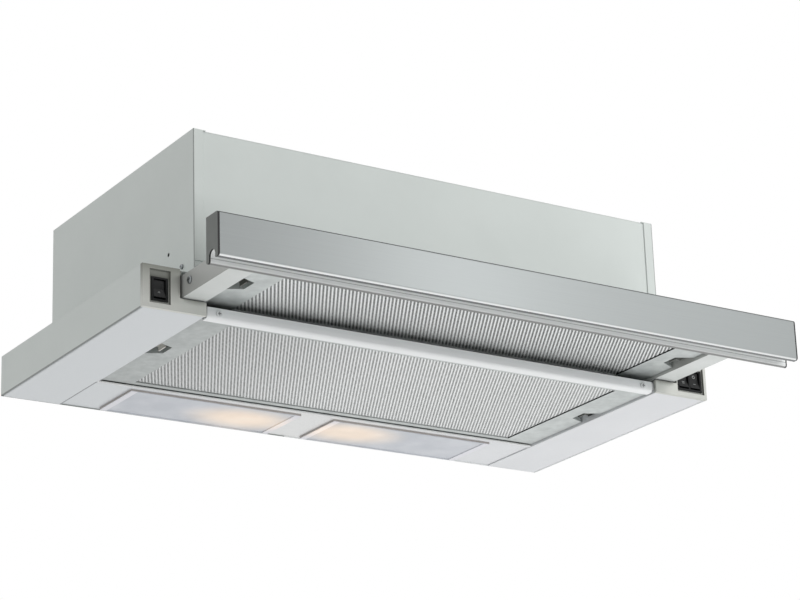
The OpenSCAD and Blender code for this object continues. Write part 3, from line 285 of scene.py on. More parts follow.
def satin_paint():
    finish, shader, place = start_finish("satin_light_paint", "#DADCDF", 0.38,
                                         IOR=1.5, Specular_IOR_Level=0.4)
    paint = drift(finish, shader, place, "#D8DADD", "#DDDFE2", 90)
    parts = parts_of(finish, place)
    # Painted shade towards the left, and painted light over the middle.
    left = ramp(finish, parts["X"], *STRIP_SHADE_X)
    away = maths(finish, "ABSOLUTE", parts["X"])
    panel = maths(finish, "LESS_THAN", away, PANEL_X + 0.1 * MM)
    middle_light = ramp(finish, away, *MIDDLE_LIGHT_X)
    left_shaded = over(finish, paint, left, "#D3D7DA")
    toned = over(finish, left_shaded, middle_light, "#E3E4E4")
    # Painted shade in the groove along the left strip's outer edge.
    groove = ramp(finish, parts["X"], GROOVE_X + GROOVE_SOFT, GROOVE_X - GROOVE_SOFT)
    lined = over(finish, toned, groove, "#777B7D")
    # Painted shade in the seam on the left of the lamp panel.
    seam = maths(finish, "COMPARE", parts["X"], -PANEL_X - SEAM_MID, SEAM_HALF)
    rear = maths(finish, "GREATER_THAN", parts["Y"], LAMP_FRONT)
    seamed = over(finish, lined, product(finish, seam, rear), "#83888B")
    # Painted light on the lamp panel's front fold, a wall that lies in shade.
    fold = maths(finish, "LESS_THAN", parts["Y"], LAMP_FRONT + FOLD_W)
    link(finish, over(finish, seamed, product(finish, fold, panel), "#FAFBFB"), shader.inputs["Base Color"])
    grain(finish, shader, place, 2.2, 0.012, 1.6, (0.34, 0.42))
    return finish


finishes["light_paint"] = satin_paint()
print("made", finishes["light_paint"].name)

# %% [markdown]
# ### Brushed stainless steel
#
# The visor's fascia is stainless sheet drawn under an abrasive belt along its length. The belt
# leaves thousands of hair-thin scratches, so the highlight spreads across them and stays narrow
# along them. Stretched noise gives the scratches as bump and roughness, and anisotropy, turned a
# quarter, spreads the highlight upright. A real scratch is under 0.1 mm, which would blur to
# nothing here, so they are drawn 0.5 mm apart. The lower bend carries a painted highlight, the
# flat below it is painted dark as the shade above the finger groove, and the upper bend is
# painted as a dark line. The node's height and the faces' direction say where they are.

# %% Brushed steel of the fascia
FASCIA_LOW, FASCIA_TOP = (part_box("fascia")[k][2] for k in (0, 1))
LIP_FROM, LIP_TO = 1.6 * MM, 0.9 * MM
TOP_FROM, TOP_TO = 1.7 * MM, 1.2 * MM


def brushed_steel():
    finish, shader, place = start_finish("brushed_stainless_steel", "#9CA0A0", 0.3, metallic=1.0,
                                         Anisotropic=0.75, Anisotropic_Rotation=0.25)
    stretched = add(finish, "Mapping", links={"Vector": place}, Scale=(8.0, 900.0, 2000.0))
    scratches = add(finish, "TexNoise", links={"Vector": stretched.outputs["Vector"]},
                    Scale=1.0, Detail=4.0, Roughness=0.65)
    tone = ramp(finish, scratches.outputs["Fac"], NOISE_LOW, NOISE_HIGH)
    fine = blend(finish, tone, "#9A9E9E", "#9EA2A2")
    height = parts_of(finish, place)["Z"]
    # Painted highlight along the fascia's lower bend.
    lip = ramp(finish, height, FASCIA_LOW + LIP_FROM, FASCIA_LOW + LIP_TO)
    lip_highlight = over(finish, fine, lip, "#EDEFEF")
    facing = facing_of(finish)
    # Painted shade on the flat below the lower bend.
    flat = ramp(finish, facing["Z"], -0.93, -0.97)
    shaded = over(finish, lip_highlight, flat, "#686B6C")
    fold = ramp(finish, height, FASCIA_TOP - TOP_FROM, FASCIA_TOP - TOP_TO)
    bend = maths(finish, "LESS_THAN", facing["Z"], 0.95)
    folded = over(finish, shaded, product(finish, fold, bend), "#4C5050")
    link(finish, folded, shader.inputs["Base Color"])
    dull = ramp(finish, scratches.outputs["Fac"], NOISE_LOW, NOISE_HIGH, 0.28, 0.32)
    link(finish, dull, shader.inputs["Roughness"])
    edge = add(finish, "Bevel", {"samples": 4}, Radius=0.3 * MM)
    bump = add(finish, "Bump", links={"Height": scratches.outputs["Fac"], "Normal": edge.outputs["Normal"]},
               Strength=0.5, Distance=0.003 * MM)
    link(finish, bump.outputs["Normal"], shader.inputs["Normal"])
    return finish


finishes["stainless"] = brushed_steel()
print("made", finishes["stainless"].name)

# %% [markdown]
# ### Lacquered, painted and rolled aluminium
#
# The grip under the visor is an extrusion sprayed with silver lacquer: even and fine-grained,
# with faint lines that the die drew along it, one deeper line, and a foot that hands rub grey.

# %% Silver lacquer of the grip, with its die line and rubbed foot
GRIP_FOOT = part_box("handle_strip")[0][2]
FOOT_FROM, FOOT_TO = 1.2 * MM, 0.6 * MM
DIE_LINE, DIE_LINE_HALF = 4.6 * MM, 0.22 * MM


def silver_lacquer():
    finish, shader, place = start_finish("satin_silver_lacquer_on_aluminium", "#E2E4E4", 0.4, IOR=1.5)
    along = add(finish, "Mapping", links={"Vector": place}, Scale=(4.0, 500.0, 500.0))
    lines = add(finish, "TexNoise", links={"Vector": along.outputs["Vector"]}, Scale=1.0, Detail=3.0)
    tone = ramp(finish, lines.outputs["Fac"], NOISE_LOW, NOISE_HIGH)
    mixed = blend(finish, tone, "#DADCDC", "#E9EBEB")
    height = parts_of(finish, place)["Z"]
    foot = ramp(finish, height, GRIP_FOOT + FOOT_FROM, GRIP_FOOT + FOOT_TO)
    groove = maths(finish, "COMPARE", height, GRIP_FOOT + DIE_LINE, DIE_LINE_HALF)
    lined = over(finish, mixed, groove, "#9A9C9C")
    rubbed = over(finish, lined, foot, "#838483")
    link(finish, rubbed, shader.inputs["Base Color"])
    grain(finish, shader, place, 0.6, 0.01, 0.4, (0.36, 0.46))
    return finish


finishes["silver_lacquer"] = silver_lacquer()
print("made", finishes["silver_lacquer"].name)

# %% [markdown]
# The crossbar is painted nearly white, and painted light makes it a little brighter towards its
# rounded lower edge than at the top.

# %% Paint of the crossbar
BAR_LOW, BAR_TOP = (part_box("crossbar")[k][2] for k in (0, 1))
BAR_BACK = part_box("crossbar")[1][1]
CLOUDS = 0.12


def crossbar_paint():
    finish, shader, place = start_finish("silk_white_paint_on_aluminium", "#EFF1F2", 0.42,
                                         IOR=1.5, Specular_IOR_Level=0.4)
    height = parts_of(finish, place)["Z"]
    # Painted light: the paint grows brighter towards the rounded lower edge.
    rise = ramp(finish, height, BAR_LOW + 3 * MM, BAR_TOP - 2 * MM)
    clouds = add(finish, "TexNoise", links={"Vector": place}, Scale=1 / (30 * MM), Detail=3.0)
    level = maths(finish, "MULTIPLY_ADD", clouds.outputs["Fac"], CLOUDS, rise, clamp=True)
    mixed = blend(finish, level, "#EEF0F1", "#E2E5E6")
    link(finish, mixed, shader.inputs["Base Color"])
    grain(finish, shader, place, 1.8, 0.012, 0.7, (0.38, 0.46))
    return finish


finishes["crossbar_paint"] = crossbar_paint()
print("made", finishes["crossbar_paint"].name)

# %% [markdown]
# The filters' frames are rolled from thin sheet and left bare, so they have soft cloudy marks.
# Painted shade darkens the base's filter towards its left end, frame and strands alike, and the
# right lip of its opening is painted dark as shade.

# %% Rolled aluminium of the filter frames
MESH_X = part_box("base_filter_mesh")[1][0]
LIP_HALF = 1.2 * MM
# Painted shade on the base's filter: none at the first x, most at the second, reaching this much.
LEFT_SHADE_X, LEFT_SHADE_MOST = (-30 * MM, -240 * MM), 0.36


def left_shade(finish, place):
    """A factor for painted shade on the base's filter: none near its centre, most at its left end."""
    parts = parts_of(finish, place)
    left = ramp(finish, parts["X"], *LEFT_SHADE_X, high=LEFT_SHADE_MOST)
    base = ramp(finish, parts["Y"], BAR_BACK - 5 * MM, BAR_BACK)
    return product(finish, left, base)


def rolled_aluminium():
    finish, shader, place = start_finish("rolled_aluminium_sheet", "#C4C8C8", 0.42, metallic=0.6)
    sheet = drift(finish, shader, place, "#BABFBE", "#CACFCE", 14, detail=5.0)
    # Painted shade towards the base filter's left end.
    left_shaded = over(finish, sheet, left_shade(finish, place), "#6B6F6E")
    # Painted shade on the right lip of the opening.
    inwards = maths(finish, "LESS_THAN", facing_of(finish)["X"], -0.5)
    lip = maths(finish, "COMPARE", parts_of(finish, place)["X"], MESH_X, LIP_HALF)
    link(finish, over(finish, left_shaded, product(finish, inwards, lip), "#2C3030"), shader.inputs["Base Color"])
    grain(finish, shader, place, 5.0, 0.05, 0.5, (0.34, 0.50))
    return finish


finishes["filter_frame"] = rolled_aluminium()
print("made", finishes["filter_frame"].name)

# %% [markdown]
# ### Expanded aluminium mesh
#
# The filters hold layers of thin aluminium sheet that was slit and pulled open into diamonds.
# The strands of the outer layer are bright bare metal, with painted shade on their cut sides.
# The deeper layers fall into shade, which is painted: the same metal is darker there. The last
# layer closes the pack and shows only from above. Its strands are drawn: two wave textures run
# across each other 28 degrees to either side of X, one wave to each 3 mm row of diamonds, and
# the gaps between them are painted dark as shade. Its underside, behind the other layers, is
# painted dark as shade.

# %% Strands of the layers, and the last sheet
def mesh_strands(name, first, second, side_shade):
    finish, shader, place = start_finish(name, first, 0.4, metallic=0.6)
    bright = drift(finish, shader, place, first, second, 3.0, detail=2.0)
    flat = maths(finish, "ABSOLUTE", facing_of(finish)["Z"])
    # Painted shade on the strands' sideways faces.
    sides_shaded = over(finish, bright, ramp(finish, flat, 0.75, 0.4), side_shade)
    # Painted shade towards the base filter's left end.
    link(finish, over(finish, sides_shaded, left_shade(finish, place), "#6B6F6E"), shader.inputs["Base Color"])
    grain(finish, shader, place, 0.8, 0.02, 0.05, (0.35, 0.45))
    return finish


# A wave texture repeats every tau / 20 of a metre at scale 1.
WAVE_SCALE, LAST_ROW = 20, 3 * MM


def last_layer():
    finish, shader, place = start_finish("expanded_aluminium_last_layer", "#5C6060", 0.45, metallic=0.6)
    rows = []
    for turn in (28, -28):
        turned = add(finish, "Mapping", links={"Vector": place}, Rotation=(0, 0, math.radians(turn)))
        wave = add(finish, "TexWave", links={"Vector": turned.outputs["Vector"]},
                   Scale=math.tau / (WAVE_SCALE * LAST_ROW))
        rows.append(wave.outputs["Fac"])
    strands = maths(finish, "MAXIMUM", rows[0], rows[1])
    metal = ramp(finish, strands, 0.6, 0.85)
    # Painted shade: the underside, behind the other layers, is dark and the upper side pale.
    toned = blend(finish, facing_of(finish)["Z"], "#6E7272", "#D4D7D7")
    # The gaps between the drawn strands are painted dark as shade.
    mixed = blend(finish, metal, "#454949", toned)
    link(finish, mixed, shader.inputs["Base Color"])
    bump = add(finish, "Bump", links={"Height": strands}, Strength=0.8, Distance=0.4 * MM)
    link(finish, bump.outputs["Normal"], shader.inputs["Normal"])
    return finish


finishes["mesh_strands"] = mesh_strands("expanded_aluminium_outer_strands", "#E4E6E6", "#F2F4F4", "#757979")
# The deeper layer is the same metal, painted darker as shade.
finishes["inner_strands"] = mesh_strands("expanded_aluminium_inner_strands", "#8A8E8E", "#999D9D", "#5A5E5E")
finishes["filter_mesh"] = last_layer()
for layer in ("mesh_strands", "inner_strands", "filter_mesh"):
    print("made", finishes[layer].name)

# %% [markdown]
# ### Zinc-plated steel
#
# The guides, the lamp tray, the visor's cross piece, the flaps' spindle and the motor's can are
# steel with a thin skin of zinc. It sets in faint flowers of lighter and darker crystal, which
# Voronoi cells of about 6 mm give.

# %% Zinc plate of the hidden steel
def zinc_plate():
    finish, shader, place = start_finish("zinc_plated_steel", "#B5BABC", 0.35, metallic=1.0)
    flowers = add(finish, "TexVoronoi", links={"Vector": place}, Scale=1 / (6 * MM), Randomness=1.0)
    mixed = blend(finish, flowers.outputs["Distance"], "#C3C8CA", "#A3A8AB")
    link(finish, mixed, shader.inputs["Base Color"])
    grain(finish, shader, place, 1.2, 0.015, 0.3, (0.28, 0.42))
    return finish


finishes["zinc_steel"] = zinc_plate()
print("made", finishes["zinc_steel"].name)

# %% [markdown]
# The visor's rails are cold-rolled from strip that was galvanised and skin-passed, which
# presses the flowers flat: they are a plain pale grey with only a faint cloudiness. Their
# upright sides are painted a step darker, as painted shade.

# %% Skin-passed strip of the rails
def skin_passed_strip():
    finish, shader, place = start_finish("skin_passed_galvanised_strip", "#D2D5D4", 0.42, IOR=1.5)
    strip = drift(finish, shader, place, "#CED2D0", "#D7DAD9", 40)
    # Painted shade: the upright sides are a step darker.
    side = maths(finish, "ABSOLUTE", facing_of(finish)["X"])
    tinted = ramp(finish, side, 0.6, 0.8)
    link(finish, over(finish, strip, tinted, "#B4B6B3"), shader.inputs["Base Color"])
    grain(finish, shader, place, 1.5, 0.01, 0.4, (0.38, 0.48))
    return finish


finishes["rail_strip"] = skin_passed_strip()
print("made", finishes["rail_strip"].name)

# %% [markdown]
# Screw heads are barrel-plated, which leaves them duller than a sheet, and the crossbar's two are
# painted with it. The Ambient Occlusion node finds the cross and the seam round the head, where
# shade is painted dark.

# %% Zinc of the screw heads, bare and painted over
def screw_head(name, first, second, metallic):
    finish, shader, place = start_finish(name, first, 0.38, metallic=metallic)
    tinted = drift(finish, shader, place, first, second, 2.0)
    grain(finish, shader, place, 0.5, 0.01, 0.15, (0.32, 0.46))
    # Painted shade in the cross and round the head, where Ambient Occlusion finds them.
    hollow = add(finish, "AmbientOcclusion", {"samples": 8}, Distance=1.5 * MM)
    deep = ramp(finish, hollow.outputs["AO"], 0.75, 0.35)
    link(finish, over(finish, tinted, deep, "#2E2F30"), shader.inputs["Base Color"])
    return finish


finishes["screw_steel"] = screw_head("barrel_plated_screw_steel", "#868A8C", "#989C9E", 1.0)
finishes["painted_screw"] = screw_head("painted_screw_steel", "#D2D5D6", "#DADDDE", 0.0)
print("made", finishes["screw_steel"].name, "and", finishes["painted_screw"].name)

# %% [markdown]
# ### Moulded plastics
#
# The blower scroll, the collar with its flaps, the cable gland and the microswitch's case are
# black polypropylene, the switch bodies matte black polycarbonate with glossier rockers of black
# ABS. The filters' latches are mid-grey ABS, but for the base's left one, which is stone grey.
# Inside, the impeller, the glides and the lamp holders are milky nylon, the capacitor and the
# terminal box ivory polyamide, the wires are sheathed in PVC, and the microswitch's plunger is
# red acetal. They differ in colour, gloss and grain, so one function with those settings makes
# all of them.

# %% One function for the moulded plastics
def moulded(name, first, second, grain_mm, depth_mm, rough, edge_mm=0.4, patch_mm=25, level=0.45):
    """A plastic whose colour drifts from first to second, with a grain pressed in by its mould."""
    finish, shader, place = start_finish(name, first, rough[0], IOR=1.49, Specular_IOR_Level=level)
    drift(finish, shader, place, first, second, patch_mm)
    grain(finish, shader, place, grain_mm, depth_mm, edge_mm, rough)
    return finish


finishes["latch_plastic"] = moulded("matte_abs_mid_grey", "#545652", "#5B5D59", 0.8, 0.03, (0.42, 0.55))
finishes["base_latch_plastic"] = moulded("matte_abs_stone_grey", "#C0BFB9", "#C8C7C1", 0.8, 0.03,
                                         (0.42, 0.55))
finishes["dark_plastic"] = moulded("black_polypropylene", "#1F2022", "#28292B", 1.0, 0.03, (0.42, 0.58))
finishes["switch_plastic"] = moulded("matte_black_polycarbonate", "#0F1011", "#141516", 0.8, 0.01,
                                     (0.45, 0.55), 0.3, level=0.25)
finishes["rocker_plastic"] = moulded("polished_black_abs", "#0C0D0E", "#101112", 2.5, 0.01,
                                     (0.26, 0.34), 0.3, level=0.28)
finishes["nylon"] = moulded("milky_nylon", "#E2DFD5", "#D9D6CB", 1.5, 0.02, (0.35, 0.48))
finishes["pale_plastic"] = moulded("ivory_polyamide", "#DDDCD6", "#D5D4CD", 1.5, 0.015, (0.28, 0.40))
finishes["wire_sheath"] = moulded("pvc_wire_sheath", "#3A3B40", "#44454A", 1.2, 0.01, (0.35, 0.45), 0.2)
finishes["red_plastic"] = moulded("red_acetal", "#B3272A", "#A82326", 1.0, 0.01, (0.25, 0.35), 0.2)
print("made", len(finishes), "finishes so far")

# %% [markdown]
# ### Warm grey ABS of the switch panels
#
# The panels at the base's front corners have a spark-eroded grain. Painted shade darkens the
# left one towards its top, by a gradient over its height, and the right one evenly a little. The
# Ambient Occlusion node finds the switch recess and paints shade there, and painted shade
# darkens the dish pressed in above the left switch.

# %% Switch panel plastic
PANEL_LOW, PANEL_TOP = (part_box("switch_panel_left")[k][2] for k in (0, 1))
PANEL_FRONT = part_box("switch_panel_left")[0][1]
MIDDLE = 10 * MM
# How much painted shade darkens the right panel, evenly.
RIGHT_SHADE = 0.17
DISH_DEPTH, DISH_HALF, DISH_LOW, DISH_TOP = 0.4 * MM, 11.5 * MM, 2 * MM, 6 * MM


def panel_plastic():
    finish, shader, place = start_finish("spark_grained_abs_warm_grey", "#D3D5D0", 0.5,
                                         IOR=1.49, Specular_IOR_Level=0.45)
    toned = drift(finish, shader, place, "#D0D2CD", "#D6D7D2", 25)
    grain(finish, shader, place, 0.8, 0.03, 0.4, (0.48, 0.60))
    parts = parts_of(finish, place)
    # Painted shade: the left panel darker towards its top, the right one evenly.
    rise = ramp(finish, parts["Z"], PANEL_LOW + 6 * MM, PANEL_TOP)
    left = ramp(finish, parts["X"], MIDDLE, -MIDDLE)
    shade_factor = product(finish, rise, left)
    right = ramp(finish, parts["X"], -MIDDLE, MIDDLE, high=RIGHT_SHADE)
    shade_factor = maths(finish, "ADD", shade_factor, right)
    panel_shaded = over(finish, toned, shade_factor, "#7F817A")
    # Painted shade in the switch recess, where Ambient Occlusion finds it.
    hollow = add(finish, "AmbientOcclusion", {"samples": 8}, Distance=9 * MM)
    deep = ramp(finish, hollow.outputs["AO"], 0.86, 0.45)
    recess_shaded = over(finish, panel_shaded, deep, "#62635E")
    # Painted shade in the dish above the left switch, deepest next to the switch.
    low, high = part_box("switch_body_left")
    sunk = maths(finish, "GREATER_THAN", parts["Y"], PANEL_FRONT + DISH_DEPTH)
    above = ramp(finish, parts["Z"], high[2] - DISH_LOW, high[2])
    beside = maths(finish, "COMPARE", parts["X"], (low[0] + high[0]) / 2, DISH_HALF)
    dish = product(finish, product(finish, sunk, above), beside)
    depth = ramp(finish, parts["Z"], high[2] + DISH_TOP, high[2])
    dish_shade = blend(finish, depth, "#7E807A", "#62645E")
    dish_shaded = blend(finish, dish, recess_shaded, dish_shade)
    link(finish, dish_shaded, shader.inputs["Base Color"])
    return finish


finishes["panel_plastic"] = panel_plastic()
print("made", finishes["panel_plastic"].name)

# %% [markdown]
# ### End caps
#
# A cap closes each end of the visor. It is mid-grey ABS, and its rim, which shows as a thin
# line against the steel, is black. The rim is every face that doesn't look sideways, so the two
# colours are split by the faces' own direction. The black also turns 1 mm back onto the side.

# %% End caps with their black lip
CAP_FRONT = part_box("end_cap_left")[0][1]
BLACK_TO, GREY_FROM = 1.0 * MM, 1.4 * MM


def cap_plastic():
    finish, shader, place = start_finish("grey_abs_with_black_lip", "#646865", 0.42,
                                         IOR=1.49, Specular_IOR_Level=0.45)
    mixed = drift(finish, shader, place, "#606461", "#686C69", 20)
    side = maths(finish, "ABSOLUTE", facing_of(finish)["X"])
    flat = ramp(finish, side, 0.5, 0.6)
    depth = parts_of(finish, place)["Y"]
    back = ramp(finish, depth, CAP_FRONT + BLACK_TO, CAP_FRONT + GREY_FROM)
    grey = product(finish, flat, back)
    both = blend(finish, grey, "#121314", mixed)
    link(finish, both, shader.inputs["Base Color"])
    grain(finish, shader, place, 0.8, 0.02, 0.5, (0.38, 0.50))
    return finish


finishes["cap_plastic"] = cap_plastic()
print("made", finishes["cap_plastic"].name)

# %% [markdown]
# ### Frosted lamp covers and bulbs
#
# The covers are frosted acrylic in front of small lamps, which are lit. Light that has
# scattered in the frost leaves a warm spot around each lamp and a cool grey pane elsewhere.
# Tracing that light through the acrylic would be slow and noisy, so the cover emits it itself,
# by the distance from the lamp's place. The rims at a pane's ends are paler, and its outer
# upright walls lie in shade and don't glow.

# %% Frosted acrylic that glows near its lamp
LAMPS = ((-66.7 * MM, 104.8 * MM, -38.7 * MM), (48.2 * MM, 100.9 * MM, -38.7 * MM))
COVER_FRONT, COVER_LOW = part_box("lamp_cover_left")[0][1:]
RIM_OUT, RIM_IN = 6.2 * MM, 6.6 * MM
PAST_END, END_HALF, FRONT_WALL = 1 * MM, 0.6 * MM, 0.8 * MM
WALL_FROM, WALL_TO = 0.3 * MM, 0.6 * MM
# The glow is an ellipsoid: a place is scaled by these, and glows where it is then near the lamp.
GLOW_SCALE, GLOW_OUT, GLOW_IN, GLOW = (16, 29, 16), 1.15, 0.25, 0.35


def frosted_cover():
    finish, shader, place = start_finish("frosted_acrylic", "#D4D8DC", 0.5, IOR=1.49, Specular_IOR_Level=0.35)
    pane = drift(finish, shader, place, "#C3C7CE", "#D0D3D9", 30)
    grain(finish, shader, place, 0.7, 0.02, 0.6, (0.42, 0.55))
    parts = parts_of(finish, place)
    rims, ends = [], []
    for cover in ("lamp_cover_left", "lamp_cover_right"):
        low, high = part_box(cover)
        off = maths(finish, "SUBTRACT", parts["X"], (low[0] + high[0]) / 2)
        away = maths(finish, "ABSOLUTE", off)
        half = (high[0] - low[0]) / 2
        rim = ramp(finish, away, half - RIM_IN, half - RIM_OUT)
        outside = maths(finish, "GREATER_THAN", away, half + PAST_END)
        ends.append(maths(finish, "COMPARE", away, half, END_HALF))
        rims.append(maths(finish, "SUBTRACT", rim, outside, clamp=True))
    rimmed = over(finish, pane, maths(finish, "MAXIMUM", *rims), "#E2E2E8")
    wall = ramp(finish, parts["Z"], COVER_LOW + WALL_FROM, COVER_LOW + WALL_TO)
    sunk = ramp(finish, facing_of(finish)["Z"], -0.4, -0.7)
    upright = maths(finish, "SUBTRACT", wall, sunk, clamp=True)
    front = maths(finish, "LESS_THAN", parts["Y"], COVER_FRONT + FRONT_WALL)
    outer = maths(finish, "MAXIMUM", front, ends[0])
    outer = maths(finish, "MAXIMUM", outer, ends[1])
    shaded = product(finish, upright, outer)
    link(finish, over(finish, rimmed, shaded, "#B0AAA7"), shader.inputs["Base Color"])
    glows = []
    for lamp in LAMPS:
        centred = add(finish, "Mapping", {"vector_type": "POINT"}, {"Vector": place},
                      Location=[-c * s for c, s in zip(lamp, GLOW_SCALE)], Scale=GLOW_SCALE)
        far = add(finish, "VectorMath", {"operation": "LENGTH"}, {0: centred.outputs["Vector"]})
        glow = add(finish, "MapRange", {"interpolation_type": "SMOOTHSTEP"}, {"Value": far.outputs["Value"]},
                   From_Min=GLOW_OUT, From_Max=GLOW_IN)
        glows.append(glow.outputs["Result"])
    pane_only = maths(finish, "SUBTRACT", 1.0, shaded)
    lit = product(finish, maths(finish, "MAXIMUM", *glows), pane_only)
    strength = maths(finish, "MULTIPLY", lit, GLOW)
    shader.inputs["Emission Color"].default_value = colour("#FFCC7A")
    link(finish, strength, shader.inputs["Emission Strength"])
    return finish


def bulb_glass():
    finish, shader, place = start_finish("frosted_bulb_glass", "#F4EDE2", 0.3, IOR=1.5)
    drift(finish, shader, place, "#F6F0E6", "#EDE4D6", 8)
    grain(finish, shader, place, 0.8, 0.01, 0.1, (0.25, 0.35))
    shader.inputs["Emission Color"].default_value = colour("#FFDDB8")
    shader.inputs["Emission Strength"].default_value = 0.8
    return finish


finishes["frosted_cover"] = frosted_cover()
finishes["bulb_glass"] = bulb_glass()
print("made", finishes["frosted_cover"].name, "and", finishes["bulb_glass"].name)

# %% [markdown]
# ## Finishes onto the CAD nodes
#
# The record names a material slot for every node, and most finishes are keyed by that slot.
# Where one slot holds pieces that are finished differently, those have a finish of their own.

# %% Assign a finish to every node
slot_of = {part["node"]: part["material_slot"] for part in frame["record"]["subparts"]}
own_finish = {"visor_filter_frame": "filter_frame", "base_filter_frame": "filter_frame",
              "crossbar": "crossbar_paint", "handle_strip": "silver_lacquer",
              "visor_rail_left": "rail_strip", "visor_rail_right": "rail_strip",
              "rail_screws": "screw_steel", "panel_screws": "screw_steel", "crossbar_screws": "painted_screw",
              "switch_body_left": "switch_plastic", "switch_body_right": "switch_plastic",
              "base_latch_left": "base_latch_plastic"}


def wear(piece, finish):
    """Puts one finish on all of a piece."""
    for place in range(max(1, len(piece.material_slots))):
        if place < len(piece.material_slots):
            piece.material_slots[place].material = finish
        else:
            piece.data.materials.append(finish)


for node, piece in frame["nodes"].items():
    wear(piece, finishes[own_finish.get(node, slot_of[node])])
print("dressed", len(frame["nodes"]), "nodes in", len(finishes), "finishes")

# %% [markdown]
# ## Modelling by hand, in code
#
# The new pieces are shaped the way one does it at the desk: add a primitive, go into edit mode,
# pick faces, and extrude, inset, rotate or scale them. An operator acts on all that is selected,
# so everything is let go first. These few helpers keep the cells short.

# %% Helpers to begin, settle and clean a piece
def begin(add_primitive, name, **settings):
    """Adds a primitive, names it and enters edit mode with all of it selected."""
    bpy.ops.object.select_all(action="DESELECT")
    add_primitive(**settings)
    piece = bpy.context.object
    piece.name = piece.data.name = name
    bpy.ops.object.mode_set(mode="EDIT")
    bpy.ops.mesh.select_mode(type="FACE")
    return piece


def settle(piece, modifiers=()):
    """Leaves edit mode, applies place, turn and scale, then adds and applies modifiers in order."""
    bpy.ops.object.mode_set(mode="OBJECT")
    bpy.ops.object.transform_apply(location=True, rotation=True, scale=True)
    for kind, options in modifiers:
        modifier = piece.modifiers.new(kind.title(), kind)
        for name, value in options.items():
            setattr(modifier, name, value)
        bpy.ops.object.modifier_apply(modifier=modifier.name)
    return piece


def recalculate(piece):
    """Points every normal outwards."""
    bpy.ops.object.mode_set(mode="EDIT")
    bpy.ops.mesh.select_all(action="SELECT")
    bpy.ops.mesh.remove_doubles(threshold=1e-6)
    bpy.ops.mesh.normals_make_consistent(inside=False)
    bpy.ops.object.mode_set(mode="OBJECT")


print("helpers for modelling are ready")

# %% [markdown]
# ## The layers of expanded mesh
#
# Sheet aluminium is slit in staggered rows and pulled open, so every slit becomes a diamond,
# about 3.5 mm wide and 6.4 mm long, and what is left between them are thin strands. The press
# pulls one set of strands flatter, which makes it the wider one, and seen along it the mesh
# reads as fine light and dark stripes. One diamond is enough to begin with: a square plane is
# inset, and its inner face is scaled to leave a wide and a narrow strand, raised a little, so
# that the strands have a ridge that catches the light, and deleted. Turned by 45 degrees and
# stretched to the mesh's size, then copied once by half a diamond both ways, it repeats without
# a seam, so that two arrays make the whole field as one mesh. Bisect trims the field at the
# frame's opening, and Solidify gives the strands their thickness. A diamond has few triangles,
# because there are thousands of them.
#
# The layers replace the CAD node, which is one plain corrugated sheet of the same depth.

# %% One diamond, repeated to a field
INSET = 0.1
INSET_LEFT = 1 - 2 * INSET
RIDGE, STRAND_T = 0.12 * MM, 0.2 * MM


def expanded_field(name, opening, z, wide, long, strands, finish):
    """Expanded mesh that fills an opening (x and y from, x and y to) with its ridges at height z."""
    x_from, y_from, x_to, y_to = opening
    across, along = math.ceil((x_to - x_from) / wide) + 1, math.ceil((y_to - y_from) / long) + 1
    piece = begin(bpy.ops.mesh.primitive_plane_add, name, size=1, location=(0, 0, 0))
    bpy.ops.mesh.inset(thickness=INSET)
    bpy.ops.transform.resize(value=((1 - strands[1]) / INSET_LEFT, (1 - strands[0]) / INSET_LEFT, 1),
                             center_override=(0, 0, 0))
    bpy.ops.transform.translate(value=(0, 0, RIDGE))
    bpy.ops.mesh.delete(type="ONLY_FACE")
    bpy.ops.mesh.select_all(action="SELECT")
    bpy.ops.transform.rotate(value=-math.pi / 4, orient_axis="Z", center_override=(0, 0, 0))
    bpy.ops.transform.resize(value=(wide / math.sqrt(2), long / math.sqrt(2), 1),
                             center_override=(0, 0, 0))
    bpy.ops.mesh.duplicate_move(TRANSFORM_OT_translate={"value": (wide / 2, long / 2, 0)})
    bpy.ops.mesh.select_all(action="SELECT")
    bpy.ops.mesh.remove_doubles(threshold=1e-6)
    bpy.ops.transform.translate(value=((x_from + x_to - wide * across) / 2, y_from, z))
    repeat = {"use_relative_offset": False, "use_constant_offset": True,
              "use_merge_vertices": True, "merge_threshold": 1e-5}
    settle(piece, [("ARRAY", {"count": across, "constant_offset_displace": (wide, 0, 0), **repeat}),
                   ("ARRAY", {"count": along, "constant_offset_displace": (0, long, 0), **repeat})])
    bpy.ops.object.mode_set(mode="EDIT")
    sides = (((x_from, 0, 0), (-1, 0, 0)), ((x_to, 0, 0), (1, 0, 0)),
             ((0, y_from, 0), (0, -1, 0)), ((0, y_to, 0), (0, 1, 0)))
    for place, way in sides:
        bpy.ops.mesh.select_all(action="SELECT")
        bpy.ops.mesh.bisect(plane_co=place, plane_no=way, clear_outer=True)
    recalculate(piece)
    settle(piece, [("SOLIDIFY", {"thickness": STRAND_T, "offset": 0.0})])
    wear(piece, finishes[finish])
    piece.data.calc_loop_triangles()
    print(name, across, "by", along, "cells,", len(piece.data.loop_triangles), "triangles")
    return piece


# %% The last layer: a sheet with its margin folded up against the frame
MARGIN, FOLD_UP, SHEET_T = 1.5 * MM, 1 * MM, 0.3 * MM


